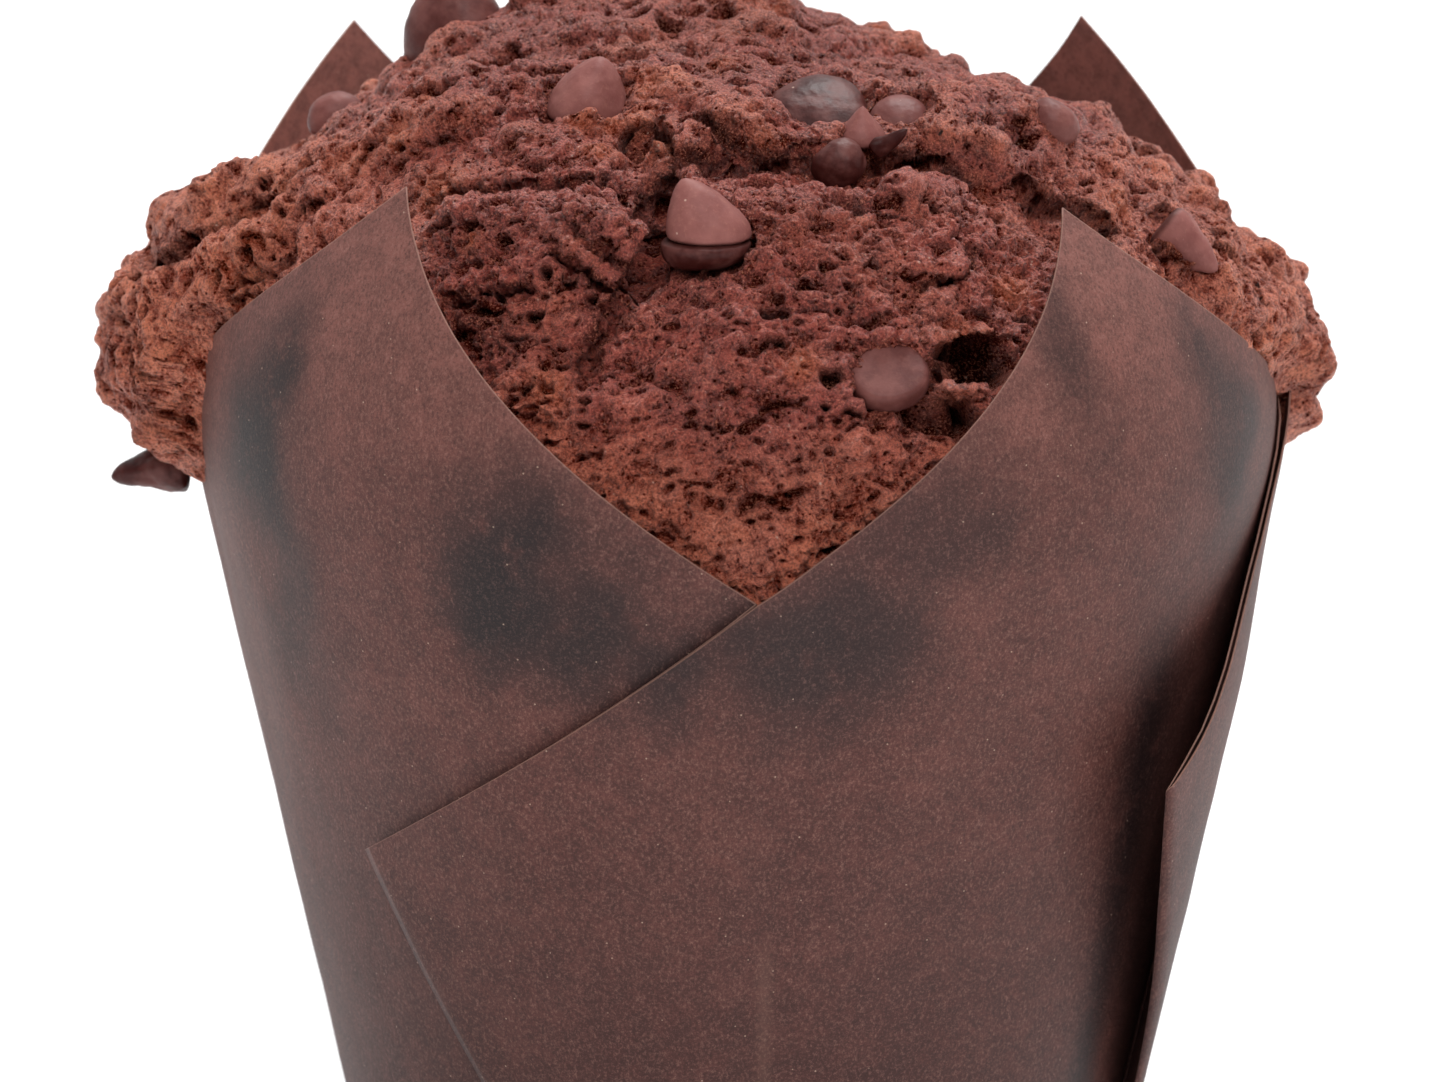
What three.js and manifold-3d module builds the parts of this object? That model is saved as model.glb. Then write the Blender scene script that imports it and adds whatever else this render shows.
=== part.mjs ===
// A double chocolate muffin in a tulip case, the square of greaseproof paper that is pressed into a cup
// before the batter goes in. The crumb rises out of the mouth, lobes over between the paper's four
// points, and carries whole chocolate chips.
//
// Units are millimetres and +Z is up. The origin is the middle of the flat base, on the table.
// Azimuths are degrees round +Z from +X, so the two front points of the paper are at -135 and -45.
import * as THREE from "three";
import { mergeVertices } from "three/addons/utils/BufferGeometryUtils.js";
import Module from "manifold-3d";

const TOUCHING_GAP = 0.3;        // between pieces that touch

// ---- the paper case ----
const BASE_RADIUS = 25;          // flat round bottom
const BASE_CORNER = 1.8;         // rounding between the bottom and the wall
const CORNER_SHARE = 0.25;       // share of a column by which that rounding is over
const WALL_LEAN = 0.2;           // radius gained for each millimetre of height
const MOUTH_HEIGHT = 57;         // the wall is a plain cone up to here
const PAPER = 0.25;              // sheet thickness
const LAYER_STEP = 0.45;         // from one layer of a pleat to the next
const PLEAT_START = 12;          // a pleat leaves the base this many degrees clockwise of its vee
const PLEAT_ROOT = 1.5;          // the width of its fold there, in degrees
const PLEAT_OPENING = 3;         // the layers stand apart from this far up the wall
const UNLAYER_ARC = 10;          // the outer layer eases down to a single layer over this arc
const LIFT_FALL = 1.15;          // how fast a lifted pleat corner comes back to the wall, as a power
const LIFT_TOP = 60;             // the lift eases out between these two heights
const LIFT_FULL = 44;
const PETALS = [                 // the paper's four points, how high they reach and how far they lean in
  { tip: -134, height: 81.9, radius: 31 },
  { tip: -45, height: 80.3, radius: 30.3 },
  { tip: 45, height: 84.6, radius: 35.4 },
  { tip: 135, height: 83.8, radius: 39 },
];
const PLEATS = [                 // where two edges cross, and the free corner clockwise of it
  { vee: -180, crossing: 64, corner: 54, height: 37.5, standOff: 0.5 },
  { vee: -88, crossing: 57.6, corner: 50.5, height: 36.5, standOff: 0.5 },
  { vee: -1, crossing: 63.3, corner: 42, height: 42, standOff: 5 },
  { vee: 91, crossing: 59, corner: 54, height: 38, standOff: 0.8 },
];

// ---- the muffin ----
const CRUMB_CLEARANCE = 0.8;     // from the middle of the paper to the crumb
const CRUMB_BOTTOM = 0.65;
const CONE_TOP = 53.3;           // the crumb is a plain cone inside the paper up to here
const RIM_RADIUS = 36;           // the crown's mean radius at its widest, without the lobes
const RIM_HEIGHT = 61;
const UNDERSIDE_HEIGHT = 57.3;   // where the overhang turns back in to the mouth
const NECK_RADIUS = 36;
const CROWN_HEIGHT = 87.5;
const UNEVENNESS = 0.3;          // of the whole crown
const CROWN_FULLNESS = 0.98;     // below 1 the crown has fuller shoulders than an ellipse
const UNDERSIDE_FULLNESS = 0.5;  // below 1 the overhang is rounder underneath
const EDGE_CLEARANCE = 1;        // the crumb stays inside the paper until about this far above its edge
const SPILL = 3.2;               // overhang gained for each millimetre above that
const SPILL_START = 0.7;         // how gently the spilling over begins, in millimetres of height
const LOBES = [                  // where the crumb rose over the paper: how far and how high
  { at: 175, out: 7.5, up: 5.2, half: 46 },
  { at: 3, out: 4.9, up: 3, half: 44 },
  { at: 92, out: 4.8, up: 3, half: 44 },
  { at: -90, out: 0.2, up: -4.5, half: 44 },
];
const LIPS = [                   // how low each lobe hangs over the paper, and over what arc
  { at: 175, low: 56.4, half: 22 },
  { at: 10, low: 57.3, half: 15 },
  { at: 92, low: 58.5, half: 18 },
];
const LIP_FULL = 0.3;            // share of that arc over which the lip hangs lowest
const MOUNDS = [                 // rounded heaps on the crown; a negative height is a hollow
  { x: -4, y: 12, long: 19, wide: 9, turn: 0, high: 3.4 },
  { x: -33, y: 4, long: 9, wide: 13, turn: 0, high: -1.6 },
  { x: 14, y: 5, long: 9, wide: 8, turn: 0, high: -1.7 },
  { x: 8, y: 10, long: 7, wide: 9, turn: 0, high: -1.3 },
  { x: -22, y: -7.5, long: 13, wide: 3.4, turn: 8, high: 2.8 },
  { x: -14, y: -2.2, long: 11, wide: 2.4, turn: 2, high: -3.6 },
  { x: -14.5, y: -23, long: 7, wide: 4.5, turn: -20, high: 2.2 },
  { x: 7, y: -17.6, long: 9, wide: 2.6, turn: 8, high: -3 },
  { x: 7, y: -22, long: 8, wide: 2.6, turn: 25, high: 1.1 },
  { x: 17, y: -10.2, long: 4.5, wide: 3.4, turn: 10, high: 2 },
  { x: 18.5, y: -21, long: 8, wide: 2.6, turn: 68, high: -2.2 },
  { x: 33, y: 1, long: 9, wide: 12, turn: 0, high: -2.4 },
  { x: -15, y: 10, long: 7, wide: 7, turn: 0, high: 2.3 },
  { x: -31, y: 6, long: 5, wide: 8, turn: 0, high: -1.5 },
  { x: 20, y: 12, long: 3.5, wide: 7, turn: 0, high: -1.4 },
];
const CRACKS = [                 // splits in the crust: a line on plan, its half width and its depth
  { line: [[-4.2, -17.8], [-5.4, -21.9], [-6.1, -26.8], [-9.7, -30]], half: 1.5, deep: 3.4 },
  { line: [[15.4, -28.2], [13, -31.1]], half: 2.1, deep: 3.2 },
];

// ---- the chocolate chips ----
// the outlines of a drop, as shares of its half width and its height, from its back to its point
const DROP = [[0, 0], [0.8, 0], [1, 0.17], [0.82, 0.44], [0.46, 0.71], [0.16, 0.93], [0, 1]];
const CONE = [[0, 0], [0.84, 0], [1, 0.15], [0.86, 0.46], [0.53, 0.77], [0.17, 0.965], [0, 1]];
const DOME = [[0, 0], [0.82, 0], [1, 0.2], [0.89, 0.57], [0.52, 0.9], [0, 1]];
const COIN = [[0, 0], [0.8, 0], [1, 0.3], [0.985, 0.8], [0.88, 0.975], [0, 1]];
// the middle of the back, the way the point faces, the two half widths, the height, and how far the
// point leans over sideways
const CHIPS = [
  { name: "chip_ridge", at: [-10, -9.6, 84], faces: [0, -0.05, 1], halves: [2.8, 2.7], high: 4.3,
    outline: CONE, lean: [0.9, 0, 0] },
  { name: "chip_centre_upper", at: [-1.8, -24.3, 79.05], faces: [0, 0, 1], halves: [2.75, 2.7], high: 4.1,
    outline: CONE, lean: [-1.5, 0, 0] },
  { name: "chip_centre_lower", at: [-2, -24.4, 78.75], faces: [0, 0, -1], halves: [2.9, 2.9], high: 2.1,
    outline: DOME, lean: [-0.5, 0, 0] },
  { name: "chip_front_disc", at: [9.7, -29.4, 70.4], faces: [0.05, -0.64, 0.77], halves: [2.6, 2.55],
    high: 1.9, outline: COIN, lean: [0, 0, 0] },
  { name: "chip_shoulder", at: [28.5, -11, 77], faces: [0.78, -0.11, -0.62], halves: [1.9, 1.5],
    high: 4.9, outline: CONE, lean: [0, 0, 0] },
  { name: "chip_back_left_top", at: [-19.1, 9.3, 83.9], faces: [-0.1, 0, 1], halves: [3.8, 3.7],
    high: 6.2, outline: DOME, lean: [0, 0, 0] },
  { name: "chip_back_left_low", at: [-27.6, 7, 80.1], faces: [-0.3, 0, 0.95], halves: [2.1, 1.9],
    high: 2.5, outline: DOME, lean: [0, 0, 0] },
  { name: "chip_under_left", at: [-38.2, 3.2, 56.6], faces: [-1, 0, 0.03], halves: [1.7, 2.2],
    high: 5.5, outline: CONE, lean: [0, 0, -0.8] },
  { name: "chip_melted", at: [5.6, -10.2, 84.4], faces: [0.05, -0.5, 0.87], halves: [3.5, 3.4],
    high: 2.1, outline: DOME, lean: [0, 0, 0] },
  { name: "chip_smooth_disc", at: [11, -10.8, 84], faces: [0.15, -0.4, 0.9], halves: [2.1, 2],
    high: 1.7, outline: DOME, lean: [0, 0, 0] },
  { name: "chip_small_cone", at: [8.3, -14.5, 83.1], faces: [0, 0, 1], halves: [1.55, 1.5], high: 2.7,
    outline: DROP, lean: [0.1, 0, 0] },
  { name: "chip_dark_round", at: [7, -16.7, 81.8], faces: [-0.2, -0.6, 0.8], halves: [1.8, 1.6],
    high: 2.4, outline: DOME, lean: [0, 0, 0] },
  { name: "chip_right_slab", at: [21, -8.6, 83], faces: [0.5, -0.35, 0.8], halves: [2, 1.6],
    high: 2.1, outline: DOME, lean: [0, 0, 0] },
];

// ---- mesh densities ----
const CROWN_COLUMNS = 66;
const CROWN_ROWS = 19;
const CONE_ROWS = 3;
const FRONT_CROWDING = 18;       // degrees by which the crown's columns crowd towards the front
const RIM_CROWDING = 0.06;       // share of the outline by which its rows crowd towards the rim
const OVERHANG_TURN = 155;       // how far round the outline goes, from the top to under the rim
const PLEAT_COLUMNS = 5;         // across a pleat's outer layer, and across half of a petal
const EDGE_COLUMNS = 6;
const PAPER_ROWS = [0.045, 0.12, 0.24, 0.38, 0.52, 0.66, 0.78, 0.89, 1];
const CHIP_SIDES = 10;
const ROOM_COLUMNS = 60;         // the wall that clears the crumb from the paper
const ROOM_ROWS = 5;
const ROOM_FLOOR = 50;
const ROOM_MARGIN = 0.9;

const RADIANS = Math.PI / 180;
const HALF_ANGLE = Math.atan(WALL_LEAN);
const APEX_SLANT = BASE_RADIUS / Math.sin(HALF_ANGLE);
const wasm = await Module();
wasm.setup();

const clamp = (value, low, high) => Math.min(high, Math.max(low, value));
const mix = (from, to, share) => from + (to - from) * share;
const smooth = (share) => share * share * (3 - 2 * share);
const wrap = (degrees) => ((degrees + 540) % 360) - 180;

// A smooth unit hump, 1 at the middle and 0 beyond half on either side.
function hump(azimuth, middle, half) {
  const share = clamp(wrap(azimuth - middle) / half, -1, 1);
  return Math.cos(share * Math.PI / 2) ** 2;
}

// The radius of the middle of the paper. Above the mouth the points first flare on, then lean in.
function wallRadius(height, petal) {
  const mouthRadius = BASE_RADIUS + WALL_LEAN * Math.min(height, MOUTH_HEIGHT);
  const share = Math.max(0, height - MOUTH_HEIGHT) / (petal.height - MOUTH_HEIGHT);
  const flare = WALL_LEAN * (petal.height - MOUTH_HEIGHT);
  return mouthRadius + flare * share + (petal.radius - mouthRadius - flare) * share * share;
}

// The petal of the paper that stands at an azimuth: from its own vee counter-clockwise to the next.
function petalAt(azimuth) {
  const beyondVee = PLEATS.map(({ vee }) => (azimuth - vee + 720) % 360);
  return PETALS[beyondVee.indexOf(Math.min(...beyondVee))];
}

// A straight line on the cone: the point at a share of the way between two (azimuth, slant) points,
// worked out where the cone is rolled out flat.
function straightOnCone(from, to, share) {
  const flat = ([azimuth, slant]) => {
    const turn = (azimuth - from[0]) * RADIANS * Math.sin(HALF_ANGLE);
    return [(APEX_SLANT + slant) * Math.sin(turn), (APEX_SLANT + slant) * Math.cos(turn)];
  };
  const [x0, y0] = flat(from);
  const [x1, y1] = flat(to);
  const x = mix(x0, x1, share);
  const y = mix(y0, y1, share);
  const azimuth = from[0] + Math.atan2(x, y) / RADIANS / Math.sin(HALF_ANGLE);
  return [azimuth, Math.hypot(x, y) - APEX_SLANT];
}

const slantOf = (height) => height / Math.cos(HALF_ANGLE);

function aroundAxis(azimuth, radius, height) {
  const turn = azimuth * RADIANS;
  return new THREE.Vector3(radius * Math.cos(turn), radius * Math.sin(turn), height);
}

// The height of the paper's edge at any azimuth: a straight cut, on the rolled-out cone, from each
// tip to the vee on either side of it.
function edgeHeight(azimuth) {
  const petal = petalAt(azimuth);
  const aside = wrap(azimuth - petal.tip);
  const pleat = PLEATS[(PETALS.indexOf(petal) + (aside < 0 ? 0 : 1)) % PLEATS.length];
  const tip = APEX_SLANT + slantOf(petal.height);
  const vee = APEX_SLANT + slantOf(pleat.crossing);
  const span = Math.abs(wrap(pleat.vee - petal.tip)) * RADIANS * Math.sin(HALF_ANGLE);
  const turned = Math.abs(aside) * RADIANS * Math.sin(HALF_ANGLE);
  const reach = tip * vee * Math.sin(span) / (tip * Math.sin(turned) + vee * Math.sin(span - turned));
  return (reach - APEX_SLANT) * Math.cos(HALF_ANGLE);
}

// The columns of the sheet, counter-clockwise. Each runs straight from the base to the sheet's edge,
// and belongs to the outer layer of a pleat, to a single layer, or to the layer folded back between.
function sheetColumns() {
  const columns = [];
  const addRun = (points, bases, layer, petal, pleat) => {
    points.forEach((top, index) => columns.push({ base: bases[index], top, layer, petal, pleat }));
  };
  PETALS.forEach((petal, index) => {
    const pleat = PLEATS[index];
    const next = PLEATS[(index + 1) % PLEATS.length];
    const { vee } = pleat;
    const nextVee = vee + ((next.vee - vee + 360) % 360);
    const corner = [vee - pleat.corner, slantOf(pleat.height)];
    const near = [vee, slantOf(pleat.crossing)];
    const tip = [petal.tip, slantOf(petal.height)];
    const far = [nextVee, slantOf(next.crossing)];
    const folded = [nextVee - next.corner, slantOf(next.height)];
    const tops = [];
    const addEdge = (from, to, steps) => {
      for (let step = 0; step < steps; step += 1) tops.push(straightOnCone(from, to, step / steps));
    };
    addEdge(corner, near, PLEAT_COLUMNS);
    addEdge(near, tip, EDGE_COLUMNS);
    addEdge(tip, far, EDGE_COLUMNS);
    tops.push(far);
    const start = vee - PLEAT_START;
    const end = nextVee - PLEAT_START - PLEAT_ROOT;
    const bases = tops.map((top, step) => mix(start, end, step / (tops.length - 1)));
    addRun(tops, bases, "outer", petal, pleat);
    const back = [1 / 3, 2 / 3].map((share) => straightOnCone(far, folded, share));
    addRun(back, [end + PLEAT_ROOT / 3, end + PLEAT_ROOT * 2 / 3], "folded", petal, next);
  });
  return columns;
}

// The middle of the sheet at a share of the way up one column. In a pleat the folded layer lies one
// step and the outer layer two steps off the wall, and the pleat's free corner is lifted off further.
function sheetPoint(column, share) {
  const { layer, crease, petal, pleat } = column;
  const [azimuth, slant] = straightOnCone([column.base, 0], column.top, share);
  const cornerLift = BASE_CORNER * (1 - share) * clamp(1 - share / CORNER_SHARE, 0, 1);
  const height = slant * Math.cos(HALF_ANGLE) + cornerLift;
  const fromVee = wrap(azimuth - pleat.vee);
  const toInner = (PLEAT_START + PLEAT_ROOT) * clamp(1 - height / pleat.crossing, 0, 1);
  const risen = clamp(height / pleat.height, 0, 1);
  const toOuter = mix(PLEAT_START, pleat.corner, risen);
  let layers = 0;
  if (layer === "outer") layers = 2 * smooth(clamp(1 - (fromVee + toInner) / UNLAYER_ARC, 0, 1));
  if (layer === "folded") layers = 1;
  if (crease === "inner") layers = 0.5;
  if (crease === "outer") layers = 1.5;
  const along = clamp((fromVee + toOuter) / Math.max(1, toOuter - toInner), 0, 1);
  const lowEnough = 1 - smooth(clamp((height - LIFT_FULL) / (LIFT_TOP - LIFT_FULL), 0, 1));
  const lift = pleat.standOff * (1 - along) ** LIFT_FALL * risen * lowEnough;
  const opened = clamp(slant / PLEAT_OPENING, 0, 1);
  const radius = wallRadius(height, petal) + opened * (layers * LAYER_STEP + lift);
  return aroundAxis(azimuth, radius, height + PAPER / 2);
}

// The paper case: the folded sheet thickened to a closed solid, over a flat round bottom.
function caseGeometry() {
  const columns = sheetColumns();
  const count = columns.length;
  const after = (index) => (index + 1) % count;
  const before = (index) => (index + count - 1) % count;
  columns.forEach((column, index) => {
    if (column.layer !== "outer") return;
    if (columns[before(index)].layer === "folded") column.crease = "outer";
    if (columns[after(index)].layer === "folded") column.crease = "inner";
  });
  const ring = (share) => columns.map((column) => sheetPoint(column, share));
  const floorRing = columns.map(({ base }) => aroundAxis(base, BASE_RADIUS - BASE_CORNER, PAPER / 2));
  const rings = [floorRing, ring(0), ...PAPER_ROWS.map(ring)];

  // the way the paper's outer face looks: across the sheet, or clockwise where it is folded back
  function facing(row, index) {
    if (row === 0) return new THREE.Vector3(0, 0, -1);
    const here = rings[row][index];
    if (columns[index].crease && row > 1) return new THREE.Vector3(here.y, -here.x, 0).normalize();
    const toNext = rings[row][after(index)].clone().sub(here).normalize();
    const fromLast = here.clone().sub(rings[row][before(index)]).normalize();
    const up = rings[Math.min(row + 1, rings.length - 1)][index].clone().sub(rings[row - 1][index]);
    return toNext.add(fromLast).cross(up).normalize();
  }

  const positions = [0, 0, 0, 0, 0, PAPER];
  rings.forEach((points, row) => points.forEach((point, index) => {
    const half = facing(row, index).multiplyScalar(PAPER / 2);
    positions.push(...point.clone().add(half).toArray(), ...point.clone().sub(half).toArray());
  }));
  const outerFace = (row, index) => 2 + 2 * (row * count + index);
  const innerFace = (row, index) => outerFace(row, index) + 1;
  const triangles = [];
  const quad = (a, b, c, d) => triangles.push(a, b, c, a, c, d);
  for (let index = 0; index < count; index += 1) {
    const next = after(index);
    triangles.push(0, outerFace(0, next), outerFace(0, index));
    triangles.push(1, innerFace(0, index), innerFace(0, next));
    for (let row = 0; row < rings.length - 1; row += 1) {
      quad(outerFace(row, index), outerFace(row, next), outerFace(row + 1, next), outerFace(row + 1, index));
      quad(innerFace(row, next), innerFace(row, index), innerFace(row + 1, index), innerFace(row + 1, next));
    }
    const top = rings.length - 1;
    quad(outerFace(top, index), outerFace(top, next), innerFace(top, next), innerFace(top, index));
  }
  return indexedGeometry(positions, triangles);
}

function indexedGeometry(positions, triangles) {
  const geometry = new THREE.BufferGeometry();
  geometry.setAttribute("position", new THREE.Float32BufferAttribute(positions, 3));
  geometry.setIndex(triangles);
  return geometry;
}

// The distance on plan from a point to a broken line.
function distanceToLine(x, y, line) {
  let nearest = Infinity;
  for (let index = 0; index < line.length - 1; index += 1) {
    const [x0, y0] = line[index];
    const [x1, y1] = line[index + 1];
    const length = (x1 - x0) ** 2 + (y1 - y0) ** 2;
    const share = clamp(((x - x0) * (x1 - x0) + (y - y0) * (y1 - y0)) / length, 0, 1);
    nearest = Math.min(nearest, Math.hypot(x - mix(x0, x1, share), y - mix(y0, y1, share)));
  }
  return nearest;
}

// How far the crown stands above its plain rounded form: the heaps, the splits and a gentle unevenness.
function crownRelief(x, y) {
  let relief = 0;
  MOUNDS.forEach((mound) => {
    const turn = mound.turn * RADIANS;
    const along = ((x - mound.x) * Math.cos(turn) + (y - mound.y) * Math.sin(turn)) / mound.long;
    const across = ((y - mound.y) * Math.cos(turn) - (x - mound.x) * Math.sin(turn)) / mound.wide;
    relief += mound.high * Math.exp(-along * along - across * across);
  });
  CRACKS.forEach(({ line, half, deep }) => {
    relief -= deep * Math.exp(-((distanceToLine(x, y, line) / half) ** 2));
  });
  return relief + UNEVENNESS * (Math.sin(x * 0.55 + 1) * Math.sin(y * 0.6) + Math.sin(x * 0.3 - y * 0.8));
}

// The radius that the paper leaves the crumb: a clearance inside its wall, opening above its edge, or
// above a lobe's lip where one hangs over it.
function paperRoom(azimuth, height) {
  const held = wallRadius(height, petalAt(azimuth)) - CRUMB_CLEARANCE;
  const lip = LIPS.reduce((level, { at, low, half }) => {
    const away = Math.abs(wrap(azimuth - at)) / half;
    return mix(level, low, smooth(clamp((1 - away) / (1 - LIP_FULL), 0, 1)));
  }, edgeHeight(azimuth) + EDGE_CLEARANCE);
  const above = height - lip - SPILL_START;
  return held + SPILL * (Math.max(0, above) + Math.log1p(Math.exp(-Math.abs(above))));
}

// The crumb's outline on one azimuth. Down is the angle from the top: 90 is the widest place of the
// crown and 180 the neck. The paper holds the crumb in, except above its edge, where it spills over.
function crownPoint(azimuth, down) {
  const reach = LOBES.reduce((sum, lobe) => sum + lobe.out * hump(azimuth, lobe.at, lobe.half), RIM_RADIUS);
  const level = LOBES.reduce((sum, lobe) => sum + lobe.up * hump(azimuth, lobe.at, lobe.half), RIM_HEIGHT);
  const sine = Math.abs(Math.sin(down * RADIANS));
  const cosine = Math.cos(down * RADIANS);
  const underside = Math.min(UNDERSIDE_HEIGHT, level - 1);
  let radius = reach * sine ** CROWN_FULLNESS;
  let height = level + (CROWN_HEIGHT - level) * cosine;
  if (down > 90) {
    radius = NECK_RADIUS + (reach - NECK_RADIUS) * sine ** UNDERSIDE_FULLNESS;
    height = level + (level - underside) * cosine;
  } else {
    const { x, y } = aroundAxis(azimuth, radius, 0);
    height += Math.sqrt(Math.max(0, cosine)) * crownRelief(x, y);
  }
  return aroundAxis(azimuth, Math.min(radius, paperRoom(azimuth, height)), height);
}

// The whole crumb as one closed skin: bottom, cone inside the paper, overhang and crown.
function crumbGeometry() {
  const positions = [0, 0, CRUMB_BOTTOM];
  const rings = [];
  for (let row = 0; row <= CONE_ROWS; row += 1) {
    const height = mix(CRUMB_BOTTOM, CONE_TOP, row / CONE_ROWS);
    const radius = row === 0 ? BASE_RADIUS - BASE_CORNER : wallRadius(height, PETALS[0]) - CRUMB_CLEARANCE;
    rings.push((azimuth) => aroundAxis(azimuth, radius, height));
  }
  for (let row = 0; row < CROWN_ROWS; row += 1) {
    const share = row / CROWN_ROWS;
    const down = OVERHANG_TURN * (1 - share - RIM_CROWDING * Math.sin(2 * Math.PI * share));
    rings.push((azimuth) => crownPoint(azimuth, down));
  }
  for (let row = 0; row < rings.length; row += 1) {
    for (let column = 0; column < CROWN_COLUMNS; column += 1) {
      const around = 360 * column / CROWN_COLUMNS;
      const azimuth = -90 + around - FRONT_CROWDING * Math.sin(around * RADIANS);
      positions.push(...rings[row](wrap(azimuth)).toArray());
    }
  }
  positions.push(...crownPoint(0, 0).toArray());
  const at = (row, column) => 1 + row * CROWN_COLUMNS + (column % CROWN_COLUMNS);
  const top = positions.length / 3 - 1;
  const triangles = [];
  for (let column = 0; column < CROWN_COLUMNS; column += 1) {
    triangles.push(0, at(0, column + 1), at(0, column));
    for (let row = 0; row < rings.length - 1; row += 1) {
      triangles.push(at(row, column), at(row, column + 1), at(row + 1, column + 1));
      triangles.push(at(row, column), at(row + 1, column + 1), at(row + 1, column));
    }
    triangles.push(at(rings.length - 1, column), at(rings.length - 1, column + 1), top);
  }
  return indexedGeometry(positions, triangles);
}

// The room that the paper needs in the crumb: a thin wall round the sheet, up to just over its edge.
function paperRoomGeometry() {
  const positions = [];
  for (let column = 0; column < ROOM_COLUMNS; column += 1) {
    const azimuth = wrap(360 * column / ROOM_COLUMNS);
    const petal = petalAt(azimuth);
    for (let row = 0; row < ROOM_ROWS; row += 1) {
      const height = mix(ROOM_FLOOR, edgeHeight(azimuth) + ROOM_MARGIN, row / (ROOM_ROWS - 1));
      const middle = wallRadius(Math.min(height, petal.height), petal);
      positions.push(...aroundAxis(azimuth, middle + 2 * LAYER_STEP + ROOM_MARGIN, height).toArray());
      positions.push(...aroundAxis(azimuth, middle - ROOM_MARGIN, height).toArray());
    }
  }
  const outer = (column, row) => 2 * ((column % ROOM_COLUMNS) * ROOM_ROWS + row);
  const inner = (column, row) => outer(column, row) + 1;
  const triangles = [];
  const quad = (a, b, c, d) => triangles.push(a, b, c, a, c, d);
  for (let column = 0; column < ROOM_COLUMNS; column += 1) {
    for (let row = 0; row < ROOM_ROWS - 1; row += 1) {
      quad(outer(column, row), outer(column + 1, row), outer(column + 1, row + 1), outer(column, row + 1));
      quad(inner(column + 1, row), inner(column, row), inner(column, row + 1), inner(column + 1, row + 1));
    }
    const top = ROOM_ROWS - 1;
    quad(outer(column, top), outer(column + 1, top), inner(column + 1, top), inner(column, top));
    quad(inner(column, 0), inner(column + 1, 0), outer(column + 1, 0), outer(column, 0));
  }
  return indexedGeometry(positions, triangles);
}

// The directions of a chip: its first half width, its second half width, and the way its point faces.
function chipAxes({ faces }) {
  const up = new THREE.Vector3(...faces).normalize();
  const first = up.clone().cross(new THREE.Vector3(0, -1, 0)).normalize();
  return [first, up.clone().cross(first), up];
}

// A baking chip: a drop with a flat back and its point along +Z, leaning over by the square of its
// height, grown all round by an allowance when it is used to hollow its seat in the crumb.
function chipGeometry(chip, allowance) {
  const length = chip.high + 2 * allowance;
  const points = chip.outline.map(([across, along]) => new THREE.Vector2(across, along * length - allowance));
  const geometry = new THREE.LatheGeometry(points, CHIP_SIDES);
  geometry.rotateX(Math.PI / 2);
  geometry.scale(chip.halves[0] + allowance, chip.halves[1] + allowance, 1);
  const lean = chipAxes(chip).map((axis) => axis.dot(new THREE.Vector3(...chip.lean)));
  const place = geometry.attributes.position;
  for (let index = 0; index < place.count; index += 1) {
    const share = clamp(place.getZ(index) / chip.high, 0, 1) ** 2;
    place.setX(index, place.getX(index) + lean[0] * share);
    place.setY(index, place.getY(index) + lean[1] * share);
    place.setZ(index, place.getZ(index) + lean[2] * share);
  }
  return geometry;
}

function chipPlacement(chip) {
  return new THREE.Matrix4().makeBasis(...chipAxes(chip)).setPosition(...chip.at);
}

function toManifold(geometry) {
  const bare = geometry.clone();
  bare.deleteAttribute("normal");
  bare.deleteAttribute("uv");
  const merged = mergeVertices(bare, 1e-4);
  return new wasm.Manifold(new wasm.Mesh({
    numProp: 3,
    vertProperties: new Float32Array(merged.attributes.position.array),
    triVerts: new Uint32Array(merged.index.array),
  }));
}

function fromManifold(solid) {
  const mesh = solid.getMesh();
  return indexedGeometry(Array.from(mesh.vertProperties), Array.from(mesh.triVerts));
}

// The crumb with a seat hollowed for every chip, a touching gap away from it.
function muffinGeometry() {
  let solid = toManifold(crumbGeometry()).subtract(toManifold(paperRoomGeometry()));
  CHIPS.forEach((chip) => {
    const seat = chipGeometry(chip, TOUCHING_GAP).applyMatrix4(chipPlacement(chip));
    solid = solid.subtract(toManifold(seat));
  });
  return fromManifold(solid);
}

// ---- finishes ----
const paper = new THREE.MeshStandardMaterial({ color: "#6f504c", roughness: 0.85, metalness: 0 });
const crumb = new THREE.MeshStandardMaterial({ color: "#7a483f", roughness: 0.9, metalness: 0 });
const chocolate = new THREE.MeshStandardMaterial({ color: "#6e4640", roughness: 0.45, metalness: 0 });

function piece(name, geometry, material) {
  const mesh = new THREE.Mesh(geometry, material);
  mesh.name = name;
  return mesh;
}

const muffin = new THREE.Group();
muffin.add(piece("paper_case", caseGeometry(), paper));
muffin.add(piece("muffin", muffinGeometry(), crumb));
CHIPS.forEach((chip) => {
  const mesh = piece(chip.name, chipGeometry(chip, 0), chocolate.clone());
  mesh.applyMatrix4(chipPlacement(chip));
  muffin.add(mesh);
});

export default muffin;
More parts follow.
